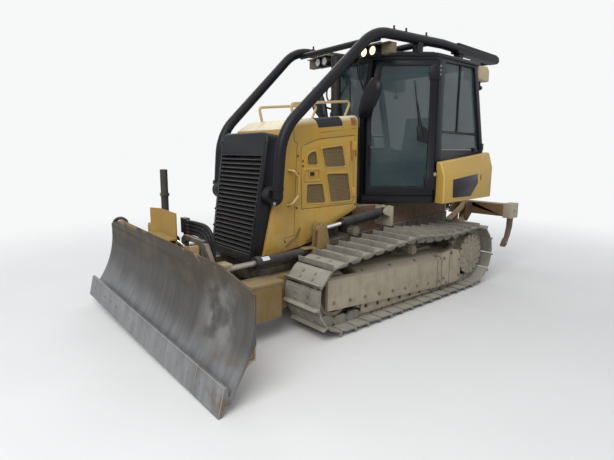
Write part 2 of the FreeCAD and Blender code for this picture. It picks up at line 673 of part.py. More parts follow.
def cab_door():
    """Glazed door frame with hinge leaves and a pull handle."""
    width_low, width_high = DOOR_LOW_WIDTH, DOOR_HIGH_WIDTH
    outline = door_local(6, width_low, width_high, DOOR_BOTTOM, DOOR_TOP, KNEE_Z)
    frame = prism_x([(-s, z) for s, z in outline], -DOOR_THICK, 0)
    window = [(78, DOOR_BOTTOM + 92), (width_low - 48, DOOR_BOTTOM + 92), (width_low - 48, KNEE_Z - 6),
              (width_high - 56, DOOR_TOP - 52), (78, DOOR_TOP - 52)]
    frame = frame.cut(prism_x([(-s, z) for s, z in window], -100, 100))
    pieces = [frame]
    for z in (DOOR_BOTTOM + 60, DOOR_TOP - 190):
        pieces.append(box(0, 14, -96, -6, z, z + 130))
        pieces.append(rod_between((0, 0, z), (0, 0, z + 130), 12))
    handle = pipe([(-2, -690, 1420), (42, -690, 1424), (42, -690, 1606), (-2, -690, 1610)], 9, 20)
    pieces.append(handle)
    return hang_door(fused(pieces))


def cab_door_glass():
    width_low, width_high = DOOR_LOW_WIDTH, DOOR_HIGH_WIDTH
    window = [(81, DOOR_BOTTOM + 95), (width_low - 51, DOOR_BOTTOM + 95), (width_low - 51, KNEE_Z - 6),
              (width_high - 59, DOOR_TOP - 55), (81, DOOR_TOP - 55)]
    return hang_door(prism_x([(-s, z) for s, z in window], -18, -12))


def seat_base():
    """Seat pedestal, arm consoles and the instrument stand."""
    pedestal = box(-190, 190, 820, 1160, DOOR_BOTTOM - 8, 1330)
    consoles = []
    for side in (-1, 1):
        x0, x1 = side * 275, side * 400
        consoles.append(prism_x([(640, 1420), (640, 1560), (780, 1590), (1180, 1590), (1180, 1420)],
                                min(x0, x1), max(x0, x1)))
        near, far = sorted((side * 290, side * 385))
        consoles.append(box(near, far, 860, 1120, DOOR_BOTTOM - 8, 1422))
        lever = rod_between((side * 338, 720, 1570), (side * 338, 690, 1690), 14)
        knob = Part.makeSphere(34, vec(side * 338, 686, 1704))
        consoles.append(fused([lever, knob]))
    dash = fused([box(-150, 150, 108, 176, DOOR_BOTTOM - 8, 1640),
                  prism_x([(100, 1600), (100, 1800), (150, 1820), (250, 1640), (250, 1600)], -185, 185)])
    return Part.makeCompound([pedestal, fused(consoles), dash])


def seat_cushions():
    """Plain solids for the padded seat and backrest."""
    cushion = box(-240, 240, 720, 1190, 1334, 1450)
    back = prism_x([(1140, 1456), (1250, 2010), (1340, 1990), (1250, 1456)], -225, 225)
    return Part.makeCompound([cushion.makeFillet(30, cushion.Edges), back.makeFillet(26, back.Edges)])


def side_box():
    """Yellow service box beside the cab's rear, with a folded upper face."""
    y0, y1 = 600.0, 1612.0
    bottom = 1000.0
    # columns: x, z of the section at the front, then at the rear
    front = [(742, bottom), (742, 1440), (800, 1436), (852, 1292), (852, bottom)]
    rear = [(742, bottom + 14), (742, 1540), (800, 1534), (852, 1362), (852, bottom + 14)]
    wires = [Part.makePolygon([vec(x, y0, z) for x, z in front + front[:1]]),
             Part.makePolygon([vec(x, y1, z) for x, z in rear + rear[:1]])]
    outer = Part.makeLoft(wires, True, True)
    return outer


def rear_cowl():
    """Tank across the rear of the cab between the side boxes."""
    return prism_x([(1613, 1012), (1613, 1530), (1660, 1530), (1700, 1400), (1700, 1012)], -741, 741)


def sweeps(hood_shape):
    """Tubular guards from the nose up over the cab, joined behind and across the top."""
    left = pipe(SWEEP_PATH, SWEEP_R, SWEEP_BEND)
    pieces = [left, mirrored(left)]
    foot_x, foot_y, foot_z = SWEEP_PATH[0]
    rear_x = SWEEP_PATH[-1][0]
    # columns: y and z of each cross tube, half its length, its radius
    for y, z, half, radius in ((-168, 2594, 566, 30), (620, 2668, rear_x, 34), (1960, 2654, rear_x, SWEEP_R)):
        pieces.append(rod_between((-half, y, z), (half, y, z), radius))
    for side in (-1, 1):
        x0, x1 = side * rear_x - SWEEP_R, side * rear_x + SWEEP_R
        pieces.append(prism_x([(1100, 2622), (1100, 2726), (1960, 2704), (2022, 2680), (2034, 2640),
                               (1990, 2606)], x0, x1))
        for y in (420, 1180):
            pieces.append(box(side * rear_x - 36, side * rear_x + 36, y - 40, y + 40, CAB_HEAD + 30, 2668))
        # foot: a round flange on the hood's side, and a collar at the tube's lower end
        flange_z = foot_z + 20
        pieces.append(rod_between((side * 380, foot_y, flange_z), (side * (foot_x - 18), foot_y, flange_z), 82))
        collar_low = (side * foot_x, foot_y, foot_z + 66)
        collar_high = (side * (foot_x + 1), foot_y + 4, foot_z + 104)
        pieces.append(rod_between(collar_low, collar_high, 57))
    return fused(pieces).cut([cab_roof(), hood_shape, guard_block()])


def exhaust():
    """Black stack between the hood and the windscreen, on the right, open at its mouth."""
    x, y = -62.0, -112.0
    mouth = 2520.0
    stack = rod_between((x, y, 1500), (x, y, mouth), 52)
    sleeve = rod_between((x, y, 1500), (x, y, 1960), 62)
    foot = box(x - 80, x + 80, HOOD_REAR_Y + 6, y + 66, 1440, 1510)
    bore = rod_between((x, y, mouth - 200), (x, y, mouth + 1), 47)
    return fused([stack, sleeve, foot]).cut(bore)


def lamps():
    """Twin work lamps in a housing on each front corner of the roof, above the swing of the doors."""
    low = DOOR_TOP + 10
    top = low + 104
    left = [prism_y([(236, low + 40), (262, low), (438, low), (470, low + 34), (470, top), (236, top)], -18, 26)]
    for x in (290, 402):
        left.append(rod_between((x, -62, low + 50), (x, -10, low + 50), 46))
    return both_sides(fused(left))


def rear_boxes():
    """Tan housings under the rear corners of the sweeps."""
    left = prism_x([(1400, 2380), (1400, 2520), (1640, 2530), (1690, 2480), (1690, 2360), (1560, 2360)],
                   520, 690)
    return both_sides(left)


# Push frame and blade

def cheek_pair(x, y, z, gap, thick, radius, foot):
    """Two ears each side of a rod eye that turns about X. foot lists the (y, z) points below the eye."""
    ears = []
    for sign in (-1, 1):
        x0 = x + sign * gap / 2
        x1 = x + sign * (gap / 2 + thick)
        plate = prism_x(foot, min(x0, x1), max(x0, x1))
        disc = rod_between((min(x0, x1), y, z), (max(x0, x1), y, z), radius)
        ears.append(plate.fuse(disc))
    return ears


def push_frame():
    """C-frame: arms between hull and tracks, a front box, the swivel nose and cylinder lugs."""
    arm = prism_x([(PIVOT_Y + 86, PIVOT_Z - 70), (PIVOT_Y + 86, PIVOT_Z + 70), (-700, 500), (-1700, 500),
                   (-1700, 190), (-1300, 190), (-700, 330)], ARM_IN, ARM_OUT)
    arm = arm.cut(rod_between((ARM_IN - 5, PIVOT_Y, PIVOT_Z), (ARM_OUT + 5, PIVOT_Y, PIVOT_Z), 38.06))
    wide = prism_x([(-1392, 190), (-1392, 486), (-1700, 486), (-1700, 190)], ARM_OUT - 4, 640)
    cover = box(ARM_IN, 652, -1700, -1380, 486, 506)
    pieces = [arm, wide, cover]
    x, y, z = LIFT_EYE
    pieces += cheek_pair(x, y, z, 54, 14, 56, [(y - 90, 470), (y - 54, z), (y + 54, z), (y + 130, 470)])
    x, y, z = ANGLE_BARREL
    for dz in (-44, 30):
        ear = [(x - 38, y), (x + 38, y), (x + 50, y + 96), (x - 22, y + 96)]
        pieces.append(prism_z(ear, z + dz, z + dz + 14))
        pieces.append(rod_between((x, y, z + dz), (x, y, z + dz + 14), 38))
    pieces.append(box(ARM_IN, ARM_OUT, y + 62, y + 96, 470, z + 44))
    left = fused(pieces)
    cross = box(-640, 640, -1740, -1640, 190, 500)
    nose_plan = [(-250, -1700), (250, -1700), (88, -1900), (58, -1955), (-58, -1955), (-88, -1900)]
    nose = [prism_z(nose_plan, 210, 262), prism_z(nose_plan, 418, 470)]
    pin = rod_between((0, SWIVEL_Y, 196), (0, SWIVEL_Y, 484), 45)
    return fused([left, mirrored(left), cross, pin] + nose)


def blade_carrier():
    """Swivel piece between push frame and blade, with the angle lugs and the tilt tower."""
    tongue = box(-130, 130, -2020, -1810, 270, 410)
    tongue = tongue.cut(rod_between((0, SWIVEL_Y, 200), (0, SWIVEL_Y, 480), 45.06))
    plate = prism_y([(-250, 180), (250, 180), (300, 420), (300, 560), (-300, 560), (-300, 420)], -2020, -1990)
    wing = box(-580, 580, -2012, -1962, 560, 612)
    wing_cap = box(-580, 580, -2012, -1962, 678, 700)
    pieces = [tongue, plate, wing, wing_cap]
    ex, ey = ANGLE_EYE[:2]
    for side in (-1, 1):
        for z0, z1 in ((592, 612), (678, 698)):
            x0, x1 = side * (ex - 62), side * (ex + 62)
            pieces.append(box(min(x0, x1), max(x0, x1), ey - 120, ey + 56, z0, z1))
        x0, x1 = side * 560, side * 580
        pieces.append(box(min(x0, x1), max(x0, x1), -2012, -1962, 560, 700))
    pieces.append(box(-300, 300, -2012, -1962, 600, 690))
    tower = prism_y([(60, 600), (60, 850), (110, 885), (430, 878), (445, 600)], -1985, -1940)
    tower = tower.cut(prism_y([(110, 705), (110, 815), (150, 845), (300, 845), (300, 705)], -2000, -1900))
    brace = prism_y([(425, 860), (470, 860), (588, 694), (530, 694)], -1985, -1950)
    x, y, z = TILT_EYE
    ears = []
    for y0, y1 in ((y - 40, y - 28), (y + 28, y + 72)):
        ears.append(prism_y([(x - 50, z - 44), (x - 50, z + 44), (x + 90, z + 60), (x + 90, z - 60)], y0, y1))
    back_block = box(x + 60, x + 90, y - 40, y + 72, z - 60, z + 60)
    trunnion = rod_between((0, -2010, TILT_Z), (0, -2120, TILT_Z), TRUNNION_R)
    return fused(pieces + [tower, brace] + ears + [back_block, trunnion])


def blade_curve(offset):
    """Arc of the mouldboard in the YZ plane, low to high, moved back by offset."""
    low = vec(0, BLADE_EDGE_Y + 40, 60)
    high = vec(0, BLADE_EDGE_Y + BLADE_TOP_SET, BLADE_HEIGHT)
    chord = (high - low).normalize()
    back = vec(0, chord.z, -chord.y)
    middle = (low + high) * 0.5 + back * BLADE_DEPTH
    shift = back * offset
    return low + shift, middle + shift, high + shift


def at_rest(shape):
    """Raise the blade and lean it about the tilt axis, so that it stands on its low left end."""
    raised = shape.copy()
    raised.translate(vec(0, 0, BLADE_REST_LIFT))
    return turned(raised, (0, 0, TILT_Z), (0, 1, 0), BLADE_REST_TILT)


def before_blade(offset):
    """Everything ahead of the blade's curve, as a solid that trims what stands behind it."""
    low, middle, high = blade_curve(offset)
    rim = [high, vec(0, high.y - 500, high.z), vec(0, low.y - 500, low.z), low]
    edges = [Part.Arc(low, middle, high).toShape()]
    for start, end in zip(rim, rim[1:]):
        edges.append(Part.LineSegment(start, end).toShape())
    wire = Part.Wire(edges)
    solid = Part.Face(wire).extrude(vec(BLADE_WIDTH, 0, 0))
    solid.translate(vec(-BLADE_WIDTH / 2, 0, 0))
    return solid


def mouldboard(edge):
    """Curved blade skin with its top corners cut off, its end plates and the ring at its right end."""
    half = BLADE_WIDTH / 2
    a, b, c = blade_curve(0)
    d, e, f = blade_curve(BLADE_SKIN)
    wire = Part.Wire([Part.Arc(a, b, c).toShape(), Part.LineSegment(c, f).toShape(),
                      Part.Arc(f, e, d).toShape(), Part.LineSegment(d, a).toShape()])
    skin = Part.Face(wire).extrude(vec(2 * half, 0, 0))
    skin.translate(vec(-half, 0, 0))
    corner = 388.0
    drop = 96.0
    for side in (-1, 1):
        cutter = prism_y([(side * (half - corner), BLADE_HEIGHT + 4), (side * (half + 10), BLADE_HEIGHT - drop),
                          (side * (half + 10), BLADE_HEIGHT + 80), (side * (half - corner), BLADE_HEIGHT + 80)],
                         -2500, -1800)
        skin = skin.cut(cutter)
    pieces = [skin]
    end_profile = [(-2345, 62), (-2290, 62), (-2108, 392), (-2108, 716), (-2300, 716)]
    for x0 in (-half, half - END_PLATE):
        pieces.append(prism_x(end_profile, x0, x0 + END_PLATE).cut(before_blade(BLADE_SKIN / 2)))
    x0 = -half + END_PLATE
    pieces.append(box(x0, x0 + 28, -2130, -2000, 532, 640))
    ring_y, ring_z = LIFT_RING
    hole = rod_between((x0 - END_PLATE - 1, ring_y, ring_z), (x0 + 29, ring_y, ring_z), LIFT_RING_R)
    pieces.append(rod_between((x0, ring_y, ring_z), (x0 + 28, ring_y, ring_z), 80))
    pieces = [fused(pieces).cut(hole)]
    return at_rest(fused(pieces)).cut(edge)


def blade_back(edge):
    """Stiffening box and ribs behind the skin, the tilt sleeve, and the stand of the tilt cylinder."""
    half = BLADE_WIDTH / 2
    ahead = before_blade(BLADE_SKIN)
    reach = half - 60
    pieces = [box(-reach, reach, -2082, -2070, 250, 532)]
    for z in (250, 520):
        pieces.append(box(-reach, reach, -2300, -2070, z, z + 12).cut(ahead))
    for x in (-1250, -860, -470, 458, 848, 1238):
        rib = prism_x([(-2300, 110), (-2075, 250), (-2075, 532), (-2120, 720), (-2300, 720)], x, x + 14)
        pieces.append(rib.cut(ahead))
    standing = [at_rest(fused(pieces))]
    skin_back = at_rest(ahead)
    sleeve = rod_between((0, -2066, TILT_Z), (0, -2200, TILT_Z), 128)
    standing.append(sleeve.cut(skin_back))
    x, y, z = TILT_BARREL
    standing.append(box(x - 60, x + 60, y - 60, y + 46, z - 96, z - 66))
    standing.append(box(x - 60, x + 60, -2118, y - 46, z - 230, z - 66).cut(skin_back))
    for y0 in (y - 46, y + 28):
        standing.append(prism_y([(x - 36, z - 70), (x - 36, z), (x + 36, z), (x + 36, z - 70)], y0, y0 + 18))
        standing.append(rod_between((x, y0, z), (x, y0 + 18, z), 36))
    bore = rod_between((0, -2060, TILT_Z), (0, -2125, TILT_Z), TRUNNION_R + RUNNING_GAP)
    return fused(standing).cut(bore).cut(edge)


def cutting_edge():
    """Bolted cutting edge with its two end bits."""
    half = BLADE_WIDTH / 2
    bit = 330.0
    outline = [(BLADE_EDGE_Y, 0), (BLADE_EDGE_Y + 26, 0), (BLADE_EDGE_Y + 75, 118), (BLADE_EDGE_Y + 66, 190),
               (BLADE_EDGE_Y + 44, 190)]
    pieces = []
    for x0, x1 in ((-half - 8, -half + bit), (-half + bit + 3, half - bit - 3), (half - bit, half + 8)):
        pieces.append(prism_x(outline, x0, x1))
    return at_rest(Part.makeCompound(pieces))


def sensor_mast():
    """Bent plate bracket behind the blade's top edge with an upright post."""
    low, high = BLADE_HEIGHT, 1030.0
    plate = fused([box(-165, 150, -2078, -2066, low - 60, high),
                   prism_z([(-165, -2078), (-165, -2066), (-240, -2118), (-232, -2128)], low - 60, high)])
    base = box(-232, 150, -2140, -2066, low + 1, low + 15)
    post = rod_between((-160, -2026, 885), (-160, -2026, 1350), 30)
    clamp = rod_between((-160, -2026, 1130), (-160, -2026, 1154), 38)
    holders = [box(-195, -125, -2070, -2010, z, z + 16) for z in (900, 1000)]
    whole = fused([plate, base, post, clamp] + holders)
    over_skin = box(-300, 200, -2200, -2122, low - 10, low + 1)
    return at_rest(whole.cut([before_blade(BLADE_SKIN + 0.5), over_skin]))


# Cylinders

def cylinder_pair(barrel_pin, rod_eye, axis, bore_r, gland, rod_start, eye_half, eye_r):
    """Barrel and rod on the line between two pins; gland and rod_start are lengths from the barrel's pin."""
    a = vec(*barrel_pin)
    b = vec(*rod_eye)
    line = (b - a).normalize()
    turn = vec(*axis)
    length = (b - a).Length
    rod_r = bore_r * 0.5

    def along(d):
        return tuple(a + line * d)

    tail = Part.makeCylinder(eye_r, 2 * eye_half, a - turn * eye_half, turn)
    neck = rod_between(along(eye_r * 0.6), along(eye_r + 12), eye_half)
    body = rod_between(along(eye_r + 10), along(gland), bore_r)
    head = rod_between(along(gland - 50), along(gland), bore_r + 6)
    core = rod_between(along(eye_r + 15), along(gland + 5), rod_r + RUNNING_GAP)
    barrel = fused([tail, neck, body, head]).cut(core)
    shaft = rod_between(along(rod_start), along(length - eye_r * 0.6), rod_r)
    eye = Part.makeCylinder(eye_r, 2 * eye_half, b - turn * eye_half, turn)
    return barrel, fused([shaft, eye])


def lift_cylinders():
    return cylinder_pair(LIFT_BARREL, LIFT_EYE, (1, 0, 0), 43, 605, 260, 22, 40)


def angle_cylinders():
    return cylinder_pair(ANGLE_BARREL, ANGLE_EYE, (0, 0, 1), 46, 566, 300, 24, 38)


def tilt_cylinder():
    return cylinder_pair(TILT_BARREL, TILT_EYE, (0, 1, 0), 40, 430, 200, 22, 36)


def ripper_cylinder():
    return cylinder_pair(RIPPER_BARREL, RIPPER_EYE, (1, 0, 0), 42, 424, 92, 24, 38)


# Ripper

def ripper_bracket():
    """Plates on the rear of the hull that carry the link pins and the cylinder."""
    y, z = LINK_FRONT
    pieces = [box(-330, 330, 1461, 1496, 360, 960)]
    for side in (-1, 1):
        for x in (200, 286):
            outline = [(1490, z - 90), (1490, z + LINK_RISE + 90), (y, z + LINK_RISE + 46),
                       (y + 46, z + LINK_RISE), (y + 46, z), (y, z - 46)]
            pieces.append(prism_x(outline, side * x - 9, side * x + 9))
        for height in (z, z + LINK_RISE):
            pieces.append(rod_between((side * 180, y, height), (side * 306, y, height), LINK_PIN_R))
    x, y, z = RIPPER_BARREL
    for sign in (-1, 1):
        inner, outer = sorted((sign * 30, sign * 46))
        pieces.append(prism_x([(1490, z - 110), (1490, z + 36), (y, z + 36), (y, z - 36)], inner, outer))
        pieces.append(rod_between((inner, y, z), (outer, y, z), 36))
    return fused(pieces)


def link_bar(front, rear, x, half, radius):
    """Flat link with round ends, bored for its pins along X."""
    a, b = vec(x, *front), vec(x, *rear)
    line = (b - a).normalize()
    side = vec(0, -line.z, line.y) * (radius * 0.72)
    corners = [a + side, b + side, b - side, a - side]
    plate = face_of([vec(x - half, p.y, p.z) for p in corners]).extrude(vec(2 * half, 0, 0))
    ends = [rod_between((x - half, p.y, p.z), (x + half, p.y, p.z), radius) for p in (a, b)]
    bores = [rod_between((x - half - 1, p.y, p.z), (x + half + 1, p.y, p.z), LINK_PIN_R + RUNNING_GAP)
             for p in (a, b)]
    return fused([plate] + ends).cut(bores)


def ripper_lower_links():
    """Two lower links tied by a round bar."""
    left = link_bar(LINK_FRONT, LINK_REAR, 243, 28, 44)
    y = LINK_FRONT[0] * 0.55 + LINK_REAR[0] * 0.45
    z = LINK_FRONT[1] * 0.55 + LINK_REAR[1] * 0.45
    tie = rod_between((-243, y, z), (243, y, z), 26)
    return fused([left, mirrored(left), tie])


def ripper_upper_links():
    front = (LINK_FRONT[0], LINK_FRONT[1] + LINK_RISE)
    rear = (LINK_REAR[0], LINK_REAR[1] + LINK_RISE)
    left = link_bar(front, rear, 243, 24, 38)
    return both_sides(left)


def ripper_beam():
    """Tool bar with its link plates, shank pockets and three curved shanks."""
    beam = box(-BAR_HALF, BAR_HALF, BAR_Y - 80, BAR_Y + 80, BAR_Z - 80, BAR_Z + 80)
    pieces = [beam]
    y, z = LINK_REAR
    for side in (-1, 1):
        for x in (200, 286):
            outline = [(y - 44, z), (y, z - 44), (BAR_Y - 70, BAR_Z - 78), (BAR_Y - 70, BAR_Z + 78),
                       (y, z + LINK_RISE + 44), (y - 44, z + LINK_RISE)]
            pieces.append(prism_x(outline, side * x - 9, side * x + 9))
        pieces.append(rod_between((side * 180, y, z), (side * 306, y, z), LINK_PIN_R))
    for x in (-800, 0, 800):
        pieces.append(box(x - 55, x + 55, BAR_Y - 96, BAR_Y + 96, BAR_Z - 96, BAR_Z + 96))
        shank = prism_x([(BAR_Y - 40, BAR_Z - 90), (BAR_Y + 50, BAR_Z - 90), (BAR_Y + 40, 560),
                         (BAR_Y - 10, 440), (BAR_Y - 105, 330), (BAR_Y - 150, 322), (BAR_Y - 88, 420),
                         (BAR_Y - 44, 560)], x - 22, x + 22)
        pieces.append(shank)
    ey, ez = RIPPER_EYE[1:]
    for sign in (-1, 1):
        x0, x1 = sign * 30, sign * 46
        pieces.append(prism_x([(ey - 44, ez), (ey, ez + 44), (BAR_Y - 70, BAR_Z + 78), (BAR_Y - 70, BAR_Z - 60),
                               (ey, ez - 44)], min(x0, x1), max(x0, x1)))
    return fused(pieces)


def build():
    save("track_left", track(1))
    save("track_right", track(-1))
    save("idlers", both_sides(idler()))
    save("sprockets", both_sides(sprocket()))
    save("track_rollers", track_rollers())
    save("track_frames", track_frame())
    save("main_frame", main_frame())
    hood_shape = hood()
    save("hood", hood_shape)
    door = engine_door()
    save("engine_door_left", door)
    save("engine_door_right", mirrored(door))
    save("grille_guard", grille_guard())
    save("radiator", radiator())
    save("engine_block", engine_block())
    save("hood_rails", hood_pipes(hood_shape))
    save("cab_frame", cab_frame())
    save("cab_glass", cab_glass())
    save("cab_roof", cab_roof())
    door = cab_door()
    save("cab_door_left", door)
    save("cab_door_right", mirrored(door))
    pane = cab_door_glass()
    save("cab_door_left_glass", pane)
    save("cab_door_right_glass", mirrored(pane))
    save("cab_interior", seat_base())
    save("seat_cushions", seat_cushions())
    save("side_boxes", both_sides(side_box()))
    save("rear_tank", rear_cowl())
    save("sweeps", sweeps(hood_shape))
    save("exhaust_stack", exhaust())
    save("front_lamps", lamps())
    save("roof_boxes", rear_boxes())
    save("push_frame", push_frame())
    save("blade_carrier", blade_carrier())
    edge = cutting_edge()
    save("mouldboard", mouldboard(edge))
    save("blade_back", blade_back(edge))
    save("cutting_edge", edge)
    save("sensor_mast", sensor_mast())
    for name, pair in (("lift", lift_cylinders()), ("angle", angle_cylinders())):
        barrel, rod = pair
        save(name + "_barrel_left", barrel)
        save(name + "_barrel_right", mirrored(barrel))
        save(name + "_rod_left", rod)
        save(name + "_rod_right", mirrored(rod))
    barrel, rod = tilt_cylinder()
    save("tilt_barrel", barrel)
    save("tilt_rod", rod)
    barrel, rod = ripper_cylinder()
    save("ripper_barrel", barrel)
    save("ripper_rod", rod)
    save("ripper_bracket", ripper_bracket())
    save("ripper_lower_links", ripper_lower_links())
    save("ripper_upper_links", ripper_upper_links())
    save("ripper_beam", ripper_beam())


build()
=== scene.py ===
# %% [markdown]
# # A small crawler dozer, dressed in Blender
# The solids of the machine come in as a fixed frame. This file gives them paint, dust and worn
# edges, and adds what a welder's drawing leaves out: bolts, mesh screens, hoses, lamps, mirrors,
# wipers and a padded seat. Each cell makes one thing and says what it made.

# %% Load the frame
import json
import math

import bmesh
import bpy
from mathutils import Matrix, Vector

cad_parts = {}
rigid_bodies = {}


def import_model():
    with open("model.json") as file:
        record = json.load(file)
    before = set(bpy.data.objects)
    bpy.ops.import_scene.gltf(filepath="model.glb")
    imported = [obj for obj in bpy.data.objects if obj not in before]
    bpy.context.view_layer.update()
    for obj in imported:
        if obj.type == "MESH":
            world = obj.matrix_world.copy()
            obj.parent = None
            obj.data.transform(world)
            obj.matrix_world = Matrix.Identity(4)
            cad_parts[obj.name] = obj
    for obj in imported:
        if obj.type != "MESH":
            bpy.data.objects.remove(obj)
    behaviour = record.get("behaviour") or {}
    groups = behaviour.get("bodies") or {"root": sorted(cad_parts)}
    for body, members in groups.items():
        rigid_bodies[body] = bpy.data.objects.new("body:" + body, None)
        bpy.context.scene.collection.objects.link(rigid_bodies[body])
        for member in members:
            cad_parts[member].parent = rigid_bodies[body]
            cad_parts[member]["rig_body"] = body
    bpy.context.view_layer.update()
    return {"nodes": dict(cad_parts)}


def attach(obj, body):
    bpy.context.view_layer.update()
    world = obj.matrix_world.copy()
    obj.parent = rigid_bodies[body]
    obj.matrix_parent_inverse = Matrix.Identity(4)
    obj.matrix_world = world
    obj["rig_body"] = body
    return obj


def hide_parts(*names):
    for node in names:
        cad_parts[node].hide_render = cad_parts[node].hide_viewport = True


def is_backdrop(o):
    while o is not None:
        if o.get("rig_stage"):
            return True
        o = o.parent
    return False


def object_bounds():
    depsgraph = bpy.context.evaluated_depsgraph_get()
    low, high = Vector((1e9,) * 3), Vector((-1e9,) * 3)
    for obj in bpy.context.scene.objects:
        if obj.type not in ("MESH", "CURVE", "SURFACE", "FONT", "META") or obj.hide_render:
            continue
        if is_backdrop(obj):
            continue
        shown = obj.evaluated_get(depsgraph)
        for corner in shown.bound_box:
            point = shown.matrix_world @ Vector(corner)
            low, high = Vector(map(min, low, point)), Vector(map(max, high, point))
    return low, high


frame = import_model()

# %% [markdown]
# ## Camera
# The photograph was taken from the front left corner of the machine at eye height, with a fairly
# wide lens. The place and the angles below were fitted to the machine's own right angles.

# %% Camera
AZIMUTH, DOWN = math.radians(49.5), math.radians(10.27)
EYE = (3.4391, -3.5062, 1.5607)
LENS_MM, SENSOR_MM = 25.79, 36.0

back = Vector((math.sin(AZIMUTH) * math.cos(DOWN), -math.cos(AZIMUTH) * math.cos(DOWN), math.sin(DOWN)))
camera = bpy.data.objects.new("camera", bpy.data.cameras.new("camera"))
bpy.context.scene.collection.objects.link(camera)
camera.data.sensor_width, camera.data.lens = SENSOR_MM, LENS_MM
camera.location = EYE
camera.rotation_mode = "QUATERNION"
camera.rotation_quaternion = back.to_track_quat("Z", "Y")
bpy.context.scene.camera = camera

# %% [markdown]
# ## Node maths written as sums
# A material is a small computation, and a computation reads best as a formula. `Value` wraps one
# output socket, so that `1 - dust * 0.5` adds the Math nodes by itself. `Sheet.node` adds every
# other node: settings first, then the values or links of its inputs.

# %% Sockets that can be added and multiplied
class Value:
    def __init__(self, sheet, socket):
        self.sheet, self.socket = sheet, socket

    def maths(self, operation, *terms, clamp=False):
        settings = {"operation": operation, "use_clamp": clamp}
        return self.sheet.node("ShaderNodeMath", settings, dict(enumerate(terms)))

    def __add__(self, other): return self.maths("ADD", self, other)
    def __radd__(self, other): return self.maths("ADD", other, self)
    def __sub__(self, other): return self.maths("SUBTRACT", self, other)
    def __rsub__(self, other): return self.maths("SUBTRACT", other, self)
    def __mul__(self, other): return self.maths("MULTIPLY", self, other)
    def __rmul__(self, other): return self.maths("MULTIPLY", other, self)
    def __pow__(self, other): return self.maths("POWER", self, other)

    def between(self, low, high):
        """0 below low, 1 above high, and a soft step in between."""
        return self.sheet.node("ShaderNodeMapRange", {"interpolation_type": "SMOOTHSTEP"},
                               {"Value": self, "From Min": low, "From Max": high})


class Sheet:
    def __init__(self, tree):
        self.tree = tree

    def node(self, kind, settings=None, inputs=None, out=0):
        made = self.tree.nodes.new(kind)
        for name, value in (settings or {}).items():
            setattr(made, name, value)
        for name, value in (inputs or {}).items():
            if isinstance(value, Value):
                self.tree.links.new(value.socket, made.inputs[name])
            else:
                made.inputs[name].default_value = value
        return Value(self, made.outputs[out]) if len(made.outputs) else None

    def noise(self, place, scale, detail=3.0, stretch=None):
        if stretch:
            place = self.node("ShaderNodeMapping", None, {"Vector": place, "Scale": stretch})
        return self.node("ShaderNodeTexNoise", None,
                         {"Vector": place, "Scale": scale, "Detail": detail})

    def blend(self, share, a, b, mode="MIX"):
        """Colour a turned into colour b by share."""
        mix = self.tree.nodes.new("ShaderNodeMix")
        mix.data_type, mix.blend_type = "RGBA", mode
        for index, value in ((0, share), (6, a), (7, b)):
            if isinstance(value, Value):
                self.tree.links.new(value.socket, mix.inputs[index])
            else:
                mix.inputs[index].default_value = value if index == 0 else (*value, 1)
        return Value(self, mix.outputs[2])


def new_finish(name):
    material = bpy.data.materials.new(name)
    material.use_nodes = True
    material.node_tree.nodes.clear()
    return material, Sheet(material.node_tree)


def close_finish(sheet, shader, surface):
    """Send the shader's inputs in surface, then the shader, to the output."""
    bsdf = sheet.node(shader, None, surface)
    sheet.node("ShaderNodeOutputMaterial", None, {"Surface": bsdf})


# %% [markdown]
# ## One recipe for everything that has stood outdoors
# Paint, cast iron and rubber on a working machine share the same story: a base colour that varies
# a little, dust that settles on what faces up and thickens towards the ground, dried splashes,
# rust spots, and fine grain. One function tells that story, and the finishes differ only in its
# numbers. The pattern reads Object coordinates, which run through neighbouring pieces unbroken.

# %% The weathered finish
CLAY = (0.40, 0.335, 0.245)
RUST = (0.115, 0.048, 0.022)
GRIME = (0.05, 0.045, 0.04)


